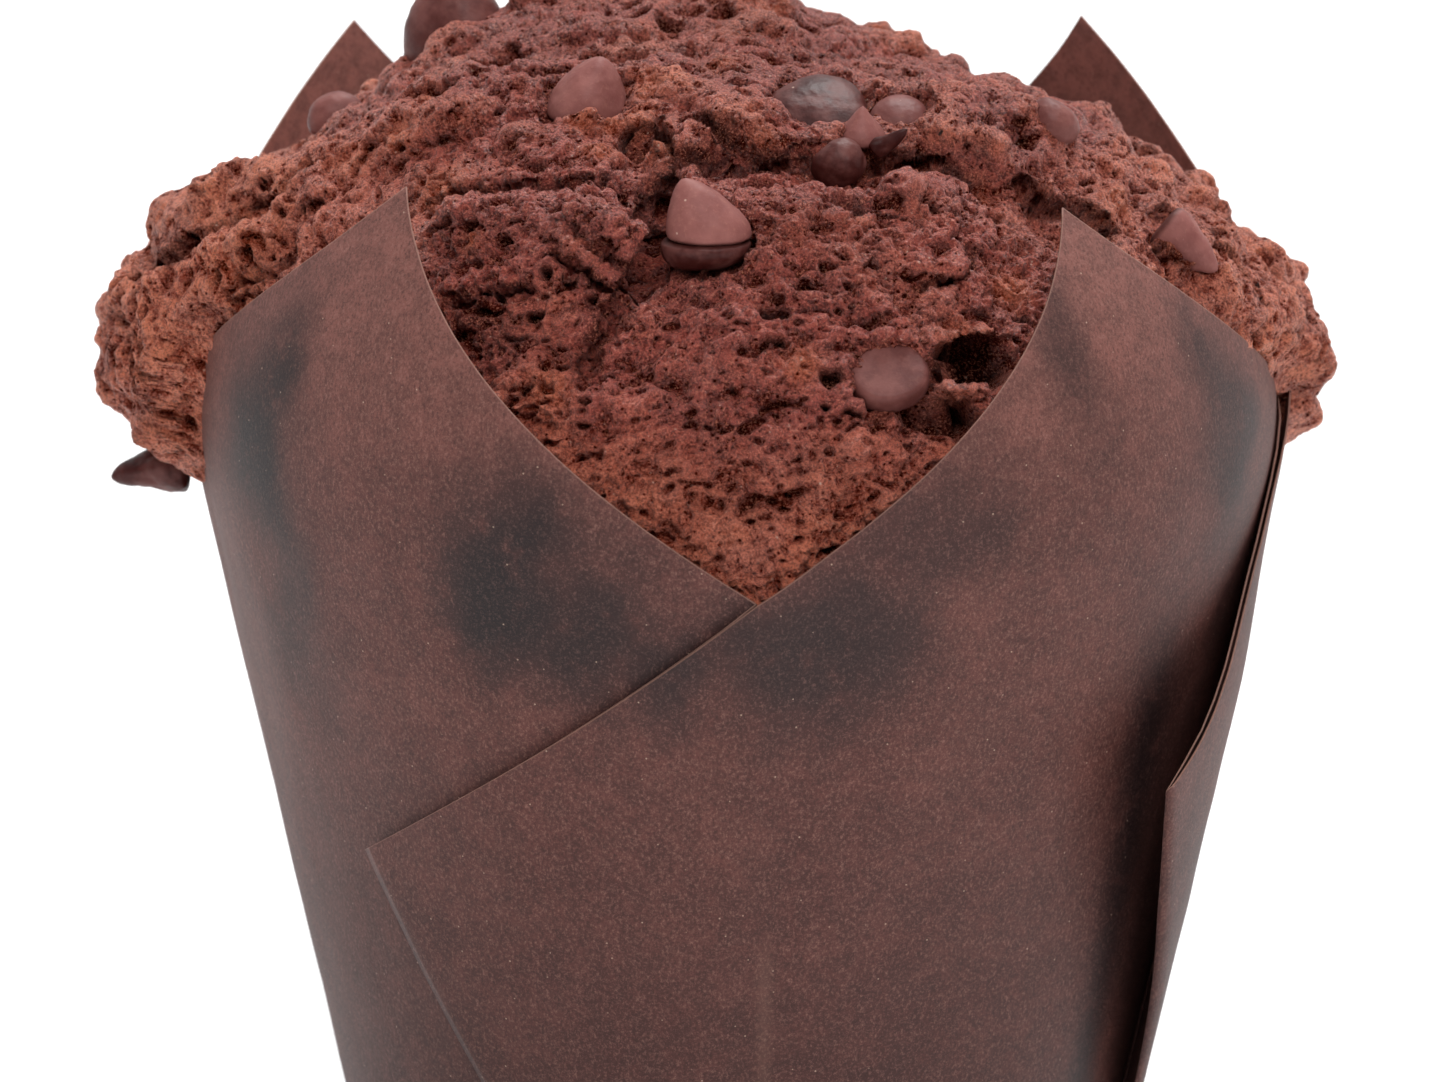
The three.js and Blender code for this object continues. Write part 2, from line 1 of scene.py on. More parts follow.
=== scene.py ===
import bpy
import numpy as np
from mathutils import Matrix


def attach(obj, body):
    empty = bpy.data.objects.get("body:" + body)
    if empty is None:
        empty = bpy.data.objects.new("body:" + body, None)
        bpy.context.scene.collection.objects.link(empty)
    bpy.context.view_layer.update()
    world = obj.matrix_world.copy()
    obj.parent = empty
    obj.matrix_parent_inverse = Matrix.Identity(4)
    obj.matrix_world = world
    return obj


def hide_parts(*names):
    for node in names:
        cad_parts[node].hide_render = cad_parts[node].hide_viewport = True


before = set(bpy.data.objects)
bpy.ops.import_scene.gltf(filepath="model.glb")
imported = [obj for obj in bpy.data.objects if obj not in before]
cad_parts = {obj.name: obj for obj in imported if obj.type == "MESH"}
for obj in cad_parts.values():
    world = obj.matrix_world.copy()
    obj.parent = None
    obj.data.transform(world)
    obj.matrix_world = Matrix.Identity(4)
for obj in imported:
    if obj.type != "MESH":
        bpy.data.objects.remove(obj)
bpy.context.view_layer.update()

# ---- The tulip case --------------------------------------------------------------------------
# One square of brown greaseproof paper, pressed round a post into a cup before the batter goes in.
# Its four corners stand up as pointed petals, and the slack between them is laid over clockwise in
# four three-layer pleats, the right one of which has sprung open.
MM = 0.001
BASE_RADIUS = 25.0
BASE_CORNER = 1.8
CORNER_SHARE = 0.1
WALL_LEAN = 0.2
MOUTH_HEIGHT = 57.0
PAPER_THICKNESS = 0.12
LAYER_STEP = 0.34
PLEAT_ROOT = 1.5
PLEAT_OPENING = 5.0
UNLAYER_ARC = 9.0
LIFT_FALL = 1.15
PETAL_TIP = np.array([-134.0, -45.0, 45.0, 135.0])
PETAL_HEIGHT = np.array([81.9, 80.3, 84.6, 83.8])
PETAL_RADIUS = np.array([31.0, 30.3, 35.4, 39.0])
VEE = np.array([-180.0, -88.0, -1.0, 91.0])
VEE_HEIGHT = np.array([64.0, 57.6, 63.3, 59.0])
PLEAT_START = 12.0
CORNER_TURN = np.array([54.0, 50.5, 42.0, 54.0])
CORNER_HEIGHT = np.array([37.5, 36.5, 42.0, 38.0])
CORNER_LIFT = np.array([0.5, 0.5, 5.0, 0.8])
LONGEST_COLUMN = 85.0
BOTTOM_ROWS = 14
RIM_ROWS = 4
CREASE_START_ROWS = 6
HALF_ANGLE = np.arctan(WALL_LEAN)
APEX_SLANT = BASE_RADIUS / np.sin(HALF_ANGLE)


def lattice_random(cells, channel):
    """A fixed random number from 0 to 1 for each whole-number x, y, z: large products, bits mixed."""
    mixed = cells[..., 0] * 374761393 + cells[..., 1] * 668265263 + cells[..., 2] * 1440662683
    mixed = (mixed + channel * 974711561) & 0xFFFFFFFF
    mixed = ((mixed ^ (mixed >> 13)) * 1274126177) & 0xFFFFFFFF
    mixed = ((mixed ^ (mixed >> 15)) * 668265263) & 0xFFFFFFFF
    return (mixed >> 8) / 0xFFFFFF


def smooth_noise(points, channel):
    """Value noise from -1 to 1: random numbers on a unit lattice, blended in a cell by 3t^2 - 2t^3."""
    cells = np.floor(points).astype(np.int64)
    part = points - cells
    part = part * part * (3 - 2 * part)
    total = 0
    for corner in np.ndindex(2, 2, 2):
        weight = np.prod(np.where(corner, part, 1 - part), axis=-1)
        total = total + weight * lattice_random(cells + np.array(corner), channel)
    return 2 * total - 1


def rough_noise(points, size, layers, channel, falloff=0.5):
    """Layers of smooth noise added up, each at half the size and falloff times the strength."""
    total = 0
    strength = 1.0
    for layer in range(layers):
        total = total + strength * smooth_noise(points / size * 2 ** layer, channel + 17 * layer)
        strength *= falloff
    return total


def smooth_step(low, high, value):
    """0 below low, 1 above high and 3t^2 - 2t^3 between them."""
    share = np.clip((value - low) / (high - low), 0, 1)
    return share * share * (3 - 2 * share)


def unit(vectors):
    """Vectors brought to length 1."""
    return vectors / np.maximum(np.linalg.norm(vectors, axis=-1, keepdims=True), 1e-9)


def wrapped(degrees):
    """An angle brought to -180 to 180 degrees."""
    return (degrees + 540) % 360 - 180


def around_axis(azimuth, radius, height):
    """Points at an azimuth in degrees, a radius and a height, in millimetres."""
    turn = np.radians(azimuth)
    return np.stack(np.broadcast_arrays(radius * np.cos(turn), radius * np.sin(turn), height), -1)


def petal_at(azimuth):
    """The petal at each azimuth: the last one whose own vee has been passed, counter-clockwise."""
    return np.argmin((np.asarray(azimuth)[..., None] - VEE + 720) % 360, axis=-1)


def wall_radius(height, petal):
    """The paper's radius: a cone to the mouth, then R + f t + (tip - R - f) t^2, t being 0 at the mouth
    and 1 at the tip."""
    mouth = BASE_RADIUS + WALL_LEAN * np.minimum(height, MOUTH_HEIGHT)
    share = np.maximum(0, height - MOUTH_HEIGHT) / (PETAL_HEIGHT[petal] - MOUTH_HEIGHT)
    flare = WALL_LEAN * (PETAL_HEIGHT[petal] - MOUTH_HEIGHT)
    return mouth + flare * share + (PETAL_RADIUS[petal] - mouth - flare) * share ** 2


def straight_on_cone(start, end, share):
    """Points a share of the way along straight lines between (azimuth, slant) places, on the cone
    rolled out flat: its polar angle is the azimuth times sin(half angle)."""
    turn = np.radians(end[0] - start[0]) * np.sin(HALF_ANGLE)
    across = share * (APEX_SLANT + end[1]) * np.sin(turn)
    up = (1 - share) * (APEX_SLANT + start[1]) + share * (APEX_SLANT + end[1]) * np.cos(turn)
    azimuth = start[0] + np.degrees(np.arctan2(across, up)) / np.sin(HALF_ANGLE)
    return azimuth, np.hypot(across, up) - APEX_SLANT


def edge_height(azimuth):
    """The height of the paper's edge: a straight cut, rolled out, from each tip to its vees."""
    petal = petal_at(azimuth)
    turned = wrapped(azimuth - PETAL_TIP[petal])
    beside = np.where(turned < 0, petal, (petal + 1) % 4)
    tip = APEX_SLANT + PETAL_HEIGHT[petal] / np.cos(HALF_ANGLE)
    vee = APEX_SLANT + VEE_HEIGHT[beside] / np.cos(HALF_ANGLE)
    span = np.radians(np.abs(wrapped(VEE[beside] - PETAL_TIP[petal]))) * np.sin(HALF_ANGLE)
    turned = np.radians(np.abs(turned)) * np.sin(HALF_ANGLE)
    reach = tip * vee * np.sin(span) / (tip * np.sin(turned) + vee * np.sin(span - turned))
    return (reach - APEX_SLANT) * np.cos(HALF_ANGLE)


def paper_wave(points):
    """How far the paper stands off its true form in mm: wide shallow waves, more towards its edge."""
    wide = rough_noise(points * (1, 1, 0.6), 17, 2, 5) * 0.4
    return (wide + rough_noise(points, 5, 2, 9) * 0.06) * smooth_step(4, 30, points[..., 2])


def sheet_columns(pleat_columns, edge_columns, folded_columns):
    """The sheet's columns, counter-clockwise, as arrays: base azimuth, the (azimuth, slant) of its top,
    petal, pleat, and layer: 2 on an outer run, 1 folded back, 0.5 and 1.5 at the two creases."""
    rows = []
    for petal in range(4):
        pleat_next = (petal + 1) % 4
        vee = VEE[petal]
        vee_next = vee + (VEE[pleat_next] - vee) % 360
        slant = lambda height: height / np.cos(HALF_ANGLE)
        corner = (vee - CORNER_TURN[petal], slant(CORNER_HEIGHT[petal]))
        near = (vee, slant(VEE_HEIGHT[petal]))
        tip = (PETAL_TIP[petal], slant(PETAL_HEIGHT[petal]))
        far = (vee_next, slant(VEE_HEIGHT[pleat_next]))
        folded = (vee_next - CORNER_TURN[pleat_next], slant(CORNER_HEIGHT[pleat_next]))
        runs = [(corner, near, pleat_columns), (near, tip, edge_columns), (tip, far, edge_columns)]
        tops = [straight_on_cone(a, b, step / count) for a, b, count in runs for step in range(count)]
        tops.append(far)
        bases = np.linspace(vee - PLEAT_START, vee_next - PLEAT_START - PLEAT_ROOT, len(tops))
        layers = [1.5] + [2.0] * (len(tops) - 2) + [0.5]
        rows += [(b, t[0], t[1], petal, petal, l) for b, t, l in zip(bases, tops, layers)]
        for step in range(1, folded_columns + 1):
            share = step / (folded_columns + 1)
            top = straight_on_cone(far, folded, share)
            rows.append((bases[-1] + PLEAT_ROOT * share, top[0], top[1], petal, pleat_next, 1.0))
    return np.array(rows).T


def sheet_surface(columns, shares):
    """The middle of the sheet on a grid of rows and columns. Each column runs straight up the
    rolled-out cone; a pleat's layers stand steps off the wall and its free corner is lifted."""
    base, top_azimuth, top_slant, petal, pleat, layer = columns
    petal = petal.astype(int)
    pleat = pleat.astype(int)
    share = shares[:, None]
    azimuth, slant = straight_on_cone((base, 0), (top_azimuth, top_slant), share)
    corner_rise = BASE_CORNER * (1 - share) * np.clip(1 - share / CORNER_SHARE, 0, 1)
    height = slant * np.cos(HALF_ANGLE) + corner_rise
    from_vee = wrapped(azimuth - VEE[pleat])
    to_inner = (PLEAT_START + PLEAT_ROOT) * np.clip(1 - height / VEE_HEIGHT[pleat], 0, 1)
    risen = np.clip(height / CORNER_HEIGHT[pleat], 0, 1)
    to_outer = PLEAT_START + (CORNER_TURN[pleat] - PLEAT_START) * risen
    eased = 2 * smooth_step(0, 1, 1 - (from_vee + to_inner) / UNLAYER_ARC)
    layers = np.where(layer == 2, eased, layer)
    along = np.clip((from_vee + to_outer) / np.maximum(1, to_outer - to_inner), 0, 1)
    lift = CORNER_LIFT[pleat] * (1 - along) ** LIFT_FALL * risen * smooth_step(60, 44, height)
    opened = np.clip(slant / PLEAT_OPENING, 0, 1)
    radius = wall_radius(height, petal) + opened * (layers * LAYER_STEP + lift)
    middle = around_axis(azimuth, radius, height + PAPER_THICKNESS / 2)
    return middle + around_axis(azimuth, 1.0, 0.0) * paper_wave(middle)[..., None]


def new_object(name, points, faces, smooth=True):
    """A mesh object from points in millimetres and faces as arrays of three or four corners."""
    mesh = bpy.data.meshes.new(name)
    faces = [np.asarray(group) for group in faces]
    sizes = np.concatenate([np.full(len(group), group.shape[1]) for group in faces])
    corners = np.concatenate([group.ravel() for group in faces])
    mesh.vertices.add(len(points))
    mesh.vertices.foreach_set("co", (points * MM).astype(np.float32).ravel())
    mesh.loops.add(len(corners))
    mesh.loops.foreach_set("vertex_index", corners.astype(np.int32))
    mesh.polygons.add(len(sizes))
    starts = np.concatenate([[0], np.cumsum(sizes)[:-1]])
    mesh.polygons.foreach_set("loop_start", starts.astype(np.int32))
    mesh.polygons.foreach_set("use_smooth", np.broadcast_to(smooth, len(sizes)).astype(bool))
    mesh.update(calc_edges=True)
    mesh.validate()
    piece = bpy.data.objects.new(name, mesh)
    bpy.context.scene.collection.objects.link(piece)
    return piece


def paint_attribute(piece, name, values):
    """Stores one number for each point of a piece, for its material to read."""
    attribute = piece.data.attributes.new(name, "FLOAT", "POINT")
    attribute.data.foreach_set("value", np.ascontiguousarray(values, np.float32).ravel())


def place_in_frame(piece, finish, slot, *nodes):
    """Gives a piece its finish, lets it ride on the muffin's one body and stand for its CAD nodes."""
    piece.data.materials.append(finish)
    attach(piece, "root")
    if nodes:
        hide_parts(*nodes)


def grid_faces(rows, columns, first=0, around=False, flip=False):
    """Four-cornered faces over a grid of points stored row by row, closed around if asked."""
    row, column = np.meshgrid(np.arange(rows - 1), np.arange(columns - (not around)), indexing="ij")
    beside = (column + 1) % columns
    at = lambda r, c: first + r * columns + c
    quads = np.stack([at(row, column), at(row, beside), at(row + 1, beside), at(row + 1, column)], -1)
    quads = quads.reshape(-1, 4)
    return quads[:, ::-1] if flip else quads


class Wire:
    """A value running through a material. + - and * between wires and numbers add Math nodes."""

    def __init__(self, finish, socket):
        self.finish = finish
        self.socket = socket

    def maths(self, operation, first, second):
        return self.finish.node("ShaderNodeMath", {"operation": operation}, {0: first, 1: second})

    def __add__(self, other):
        return self.maths("ADD", self, other)

    def __sub__(self, other):
        return self.maths("SUBTRACT", self, other)

    def __rsub__(self, other):
        return self.maths("SUBTRACT", other, self)

    def __mul__(self, other):
        return self.maths("MULTIPLY", self, other)

    __radd__ = __add__
    __rmul__ = __mul__

    def between(self, low, high):
        """Eased from 0 to 1 as the value goes from low to high."""
        values = {"Value": self, "From Min": low, "From Max": high}
        return self.finish.node("ShaderNodeMapRange", {"interpolation_type": "SMOOTHSTEP"}, values)


class Finish:
    """A material being wired up: node() adds any node, and the rest are short names for common ones."""

    def __init__(self, name, **constants):
        self.material = bpy.data.materials.new(name)
        self.material.use_nodes = True
        self.tree = self.material.node_tree
        self.shader = self.tree.nodes["Principled BSDF"]
        for socket, value in constants.items():
            self.shader.inputs[socket.replace("_", " ")].default_value = value
        self.place = self.node("ShaderNodeTexCoord", {}, {}, "Object")

    def node(self, kind, settings, values, output=0):
        """Adds a node with its settings, joins or fills its inputs, and returns one output's wire."""
        added = self.tree.nodes.new(kind)
        for name, value in settings.items():
            setattr(added, name, value)
        for name, value in values.items():
            if isinstance(value, Wire):
                self.tree.links.new(value.socket, added.inputs[name])
            else:
                added.inputs[name].default_value = value
        return Wire(self, added.outputs[output])

    def noise(self, size, detail, roughness, stretch=(1, 1, 1)):
        """Noise from 0 to 1 whose lumps measure size millimetres, stretched along the axes."""
        scaled = self.node("ShaderNodeVectorMath", {"operation": "DIVIDE"}, {0: self.place, 1: stretch})
        values = {"Vector": scaled, "Scale": 1 / (size * MM), "Detail": detail, "Roughness": roughness}
        return self.node("ShaderNodeTexNoise", {}, values, "Fac")

    def cells(self, size):
        """The distance to the nearest of many scattered points, size millimetres apart."""
        values = {"Vector": self.place, "Scale": 1 / (size * MM)}
        return self.node("ShaderNodeTexVoronoi", {}, values, "Distance")

    def attribute(self, name):
        """A value painted on the piece."""
        return self.node("ShaderNodeAttribute", {"attribute_name": name}, {}, "Fac")

    def blend(self, amount, first, second):
        """One colour turned into another by an amount."""
        return self.node("ShaderNodeMix", {"data_type": "RGBA"}, {0: amount, 6: first, 7: second}, 2)

    def feed(self, **wires):
        """Joins wires to the shader's inputs of the same names."""
        for name, wire in wires.items():
            self.tree.links.new(wire.socket, self.shader.inputs[name.replace("_", " ")])

    def bump(self, height, depth):
        """Relief of a depth in millimetres, from a height of 0 to 1."""
        values = {"Height": height, "Distance": depth * MM, "Strength": 1.0}
        self.relief = self.node("ShaderNodeBump", {}, values)
        self.feed(Normal=self.relief)

    def dull(self, amount, colour):
        """Mixes in, by an amount, the same relief in a colour without any gloss."""
        values = {"Base Color": colour, "Roughness": 1.0, "Specular IOR Level": 0.0}
        matt = self.node("ShaderNodeBsdfPrincipled", {}, values | {"Normal": self.relief})
        shaded = {0: amount, 1: Wire(self, self.shader.outputs[0]), 2: matt}
        mixed = self.node("ShaderNodeMixShader", {}, shaded)
        self.tree.links.new(mixed.socket, self.tree.nodes["Material Output"].inputs["Surface"])


def srgb(red, green, blue):
    """A colour given as on a screen, 0 to 255, made linear."""
    value = np.array([red, green, blue]) / 255
    linear = np.where(value > 0.04045, ((value + 0.055) / 1.055) ** 2.4, value / 12.92)
    return (*linear, 1.0)


PAPER_BROWN = srgb(81, 43, 38)
PAPER_WARM = srgb(93, 52, 46)
PAPER_FIBRE = srgb(150, 109, 99)
PAPER_DARK = srgb(46, 26, 23)
PAPER_GREASE_AND_SHADE = srgb(20, 11, 14)
PAPER_CUT = srgb(150, 112, 98)
# the unsoaked inside's colour, which also paints the outer face lighter towards the petal tops as painted light
PAPER_INSIDE_AND_TOP_LIGHT = srgb(160, 104, 94)
PAPER_SPECK = srgb(206, 176, 156)


def paper_finish():
    """Brown greaseproof paper: fine pale fibres over a mottled brown, darker where fat soaked in and where
    painted shade lies under the sprung pleat and by the front vee, and lighter towards the petal tops on the
    outside as painted light.
    """
    paper = Finish("brown_greaseproof_paper", Specular_IOR_Level=0.3)
    mottle = paper.noise(5, detail=4, roughness=0.6)
    cloud = paper.noise(1.4, detail=3, roughness=0.6)
    fibre = paper.noise(0.22, detail=3, roughness=0.9, stretch=(1, 1, 1.4))
    cross_fibre = paper.noise(0.16, detail=2, roughness=0.8, stretch=(1.5, 1.5, 1))
    speck = paper.cells(1.3)
    colour = paper.blend(mottle.between(0.35, 0.68), PAPER_BROWN, PAPER_WARM)
    # painted light: the outer face lighter towards the petal tops, where more light falls; on the inner face,
    # the unsoaked inside
    colour = paper.blend(paper.attribute("inside") * 0.8, colour, PAPER_INSIDE_AND_TOP_LIGHT)
    colour = paper.blend(cloud.between(0.62, 0.4) * 0.3, colour, PAPER_DARK)
    soaked_and_shaded = paper.attribute("grease_and_shade") * paper.noise(2.6, detail=4, roughness=0.6).between(0.1, 0.5)
    # grease stains together with painted shade: the dark gap under the sprung pleat and the pleat shade by the
    # front vee
    colour = paper.blend(soaked_and_shaded * 0.9, colour, PAPER_GREASE_AND_SHADE)
    # fewer pale fibres show in the grease and in its painted shade
    dry = soaked_and_shaded * -0.55 + 1
    colour = paper.blend(dry * fibre.between(0.5, 0.7) * 0.45, colour, PAPER_FIBRE)
    colour = paper.blend(dry * cross_fibre.between(0.52, 0.74) * 0.3, colour, PAPER_FIBRE)
    colour = paper.blend(fibre.between(0.5, 0.32) * 0.6, colour, PAPER_DARK)
    colour = paper.blend(speck.between(0.06, 0.03) * 0.5, colour, PAPER_SPECK)
    colour = paper.blend(paper.attribute("cut_edge") * 0.6, colour, PAPER_CUT)
    paper.feed(Base_Color=colour, Roughness=soaked_and_shaded * -0.05 + 0.62)
    paper.bump(fibre * 0.6 + cross_fibre * 0.4, 0.06)
    return paper.material


# where fat has come through; the rows by the front vee and the low row at -30 are also painted shade cast by
# the pleats: azimuth, height, half width in degrees, half height, strength
GREASE_AND_SHADE = np.array([
    [-150, 64, 9, 9, 1.15], [-147, 54, 7, 8, 0.7], [-111, 59, 8, 7, 1.1], [-102, 57, 9, 5, 1.0],
    [-94, 54, 7, 4, 0.9], [-79, 54, 12, 6, 0.95], [-69, 61, 8, 5, 0.6], [-50, 74, 5, 7, 0.7],
    [-27, 63, 8, 9, 0.95], [-22, 55, 6, 6, 0.5], [-30, 30, 9, 14, 0.55], [20, 55, 14, 10, 0.8],
    [52, 70, 9, 7, 0.7], [75, 60, 14, 9, 0.9], [120, 52, 16, 10, 0.8], [150, 62, 12, 8, 0.8],
])


def grease_and_shade_map(points):
    """How dark the paper's grease and painted shade are: ragged elliptical blotches, exp(-d^3) of the strongest
    one at each point pushed about by noise, and a little everywhere round the low part of the cup, darker
    towards the bottom."""
    push = np.stack([rough_noise(points, 8, 3, 61 + 7 * axis) for axis in range(3)], -1)
    x, y, z = np.moveaxis(points + 3.5 * push, -1, 0)
    across = wrapped(np.degrees(np.arctan2(y, x))[..., None] - GREASE_AND_SHADE[:, 0]) / GREASE_AND_SHADE[:, 2]
    up = (z[..., None] - GREASE_AND_SHADE[:, 1]) / GREASE_AND_SHADE[:, 3]
    blotches = (np.exp(-(across ** 2 + up ** 2) ** 1.5) * GREASE_AND_SHADE[:, 4]).max(-1)
    return np.maximum(blotches, 0.4 * smooth_step(50, 20, points[..., 2]))


def paper_middle(columns, shares):
    """The middle of the whole sheet, row by row: the flat bottom, its rounded rim, which dips as
    4 t (1 - t), and the wall. Gives also how many of the rows come before the wall."""
    wall = sheet_surface(columns, shares)
    radii = np.linspace(0.4, BASE_RADIUS - 0.35, BOTTOM_ROWS)
    bottom = around_axis(columns[0][None, :], radii[:, None], PAPER_THICKNESS / 2)
    turn = np.linspace(0, 1, RIM_ROWS + 2)[1:-1, None, None]
    rim = bottom[-1] + (wall[0] - bottom[-1]) * turn - np.array([0, 0, 0.45]) * turn * (1 - turn)
    return np.concatenate([bottom, rim, wall]), BOTTOM_ROWS + RIM_ROWS


def paper_outward(middle, creased, first_wall):
    """The sheet's outward normals, from its neighbours along and up it. At a pleat's creases, where
    the sheet turns back on itself, they point clockwise, and under the bottom they point down."""
    ahead = unit(np.roll(middle, -1, 1) - middle)
    behind = unit(middle - np.roll(middle, 1, 1))
    outward = unit(np.cross(ahead + behind, np.gradient(middle, axis=0)))
    clockwise = unit(np.stack([middle[..., 1], -middle[..., 0], 0 * middle[..., 0]], -1))
    above_rim = first_wall + CREASE_START_ROWS
    outward[above_rim:, creased] = clockwise[above_rim:, creased]
    outward[:BOTTOM_ROWS] = (0, 0, -1)
    return outward


def paper_marks(middle, columns, from_edge):
    """What is painted on the sheet's two faces: the pale cut within a twentieth of a mm of the edge and
    a pale band along the crease low down by the front vee, the grease with the painted shade of the dark gap
    under the sprung pleat, and how far the unsoaked inside shows, which on the outer face paints the petals
    lighter towards their tops as painted light."""
    height = middle[..., 2]
    azimuth = np.degrees(np.arctan2(middle[..., 1], middle[..., 0]))
    cut = smooth_step(0.05, 0.0, from_edge)
    # a pale band along the crease low down by the front vee, drawn into the cut edge's pale colour
    crease = np.exp(-((azimuth + 86.5) / 0.9) ** 2) * smooth_step(35, 31, height)
    # painted shade: a dark band on the wall under the sprung pleat's lifted corner, only on the petal beneath
    # it
    gap = np.exp(-((azimuth + 35) / 6) ** 2) * smooth_step(58, 46, height) * (columns[3] == 1)
    grease_and_shade = np.maximum(grease_and_shade_map(middle), gap)
    return {
        "cut_edge": (cut + 0.2 * crease, cut),
        "grease_and_shade": (grease_and_shade, grease_and_shade),
        # outer face: painted light, lighter towards the petal tops; inner face: the unsoaked inside above the
        # crumb
        "inside": (0.5 * smooth_step(58, 78, height), smooth_step(56, 60, height)),
    }


def make_paper_case():
    """The sheet thickened to a closed skin: an outer and an inner face, joined along the cut edge, with
    a fan over the middle of each side of the bottom."""
    columns = sheet_columns(44, 46, 12)
    shares = np.concatenate([np.linspace(0, 0.1, 9)[:-1], np.linspace(0.1, 0.985, 52), [0.9985, 1.0]])
    middle, first_wall = paper_middle(columns, shares)
    rows, count = middle.shape[:2]
    step = paper_outward(middle, np.isin(columns[5], (0.5, 1.5)), first_wall) * PAPER_THICKNESS / 2
    centres = [[0, 0, 0], [0, 0, PAPER_THICKNESS]]
    points = np.concatenate([(middle + step).reshape(-1, 3), (middle - step).reshape(-1, 3), centres])
    inner = rows * count
    here = np.arange(count)
    beside = (here + 1) % count
    top = inner - count
    edge = np.stack([top + here, top + beside, inner + top + beside, inner + top + here], -1)
    below = np.stack([np.full(count, 2 * inner), beside, here], -1)
    above = np.stack([np.full(count, 2 * inner + 1), inner + here, inner + beside], -1)
    outer_faces = grid_faces(rows, count, 0, True)
    inner_faces = grid_faces(rows, count, inner, True, True)
    piece = new_object("paper_case_sheet", points, [outer_faces, inner_faces, edge, below, above])
    share = np.concatenate([np.zeros(first_wall), shares])[:, None]
    from_edge = (1 - share) * columns[2] / columns[2].max() * LONGEST_COLUMN
    for name, (outside, inside) in paper_marks(middle, columns, from_edge).items():
        paint_attribute(piece, name, np.concatenate([outside.ravel(), inside.ravel(), [0, 0]]))
    return piece


paper_case = make_paper_case()
place_in_frame(paper_case, paper_finish(), "case_paper", "paper_case")


# ---- The crumb -------------------------------------------------------------------------------
# One chocolate batter that rose out of the cup and set as it baked: a cracked dome, lobes hanging
# over the paper between the petals, and a torn tongue at the front where the crust split open.
CRUMB_GAP = 0.25
CRUMB_BOTTOM = 0.65
CONE_TOP = 58.0
NECK_RADIUS = 36.0
RIM_HEIGHT = 61.0
UNDERSIDE_HEIGHT = 57.3
CROWN_HEIGHT = 87.5
CROWN_FULLNESS = 0.98
EDGE_CLEARANCE = 1.0
SPILL = 3.2
SPILL_EASE = 1.0
UNDERSIDE_FULLNESS = 0.5
EQUATOR_SHARE = 0.88
FAN_POINT = (0.0, 0.0, 62.0)
FRONT_CELLS = 250
SIDE_CELLS = 190
BACK_CELLS = 280
# the front view: the point at its middle, the eye's distance from it, and how far it looks down
VIEW_MIDDLE = np.array([-1.05, 0.0, 52.1])
VIEW_DISTANCE = 450.0
VIEW_TILT = np.radians(15.0)
VIEW_AHEAD = np.array([0, np.cos(VIEW_TILT), -np.sin(VIEW_TILT)])
VIEW_UP = np.array([0, np.sin(VIEW_TILT), np.cos(VIEW_TILT)])
SAME_PLACE = 0.5
SAME_DISTANCE = 2.0

# each lobe's azimuth, how far out and up it swells, its half width in degrees
LOBES = np.array([[175, 7.5, 5.2, 46], [3, 4.9, 3.0, 44], [92, 4.8, 3.0, 44], [-90, 0.2, -4.5, 44]])
# where a lobe hangs over the paper: azimuth, how low its lip comes, half width in degrees
LIPS = np.array([[175, 56.4, 22], [10, 57.3, 15], [92, 58.5, 18]])
# wide swellings of the crown: place x and y, half length and width, turn in degrees, height
MOUNDS = np.array([
    [-4, 12, 19, 9, 0, 3.4], [-33, 4, 9, 13, 0, -1.6], [14, 5, 9, 8, 0, -1.7], [8, 10, 7, 9, 0, -1.3],
    [-22, -7.5, 13, 3.4, 8, 2.8], [-14, -2.2, 11, 2.4, 2, -3.6], [-14.5, -18.6, 7, 1.5, -15, -1.8],
    [-14.5, -23, 7, 4.5, -20, 2.2], [-5.4, -22, 6.5, 2, 98, -3], [-10.5, -29, 6, 1.7, -20, -1.8],
    [7, -17.6, 9, 2.6, 8, -3], [7, -22, 8, 2.6, 25, 1.1], [17, -10.2, 4.5, 3.4, 10, 2],
    [21.5, -15.2, 4.8, 1.5, -10, -2], [18.5, -21, 8, 2.6, 68, -2.2], [33, 1, 9, 12, 0, -2.4],
    [-15, 10, 7, 7, 0, 2.3], [-31, 6, 5, 8, 0, -1.5], [7.4, -21, 2.4, 2.4, 0, -1.3],
    [20, 12, 3.5, 7, 0, -1.4],
])
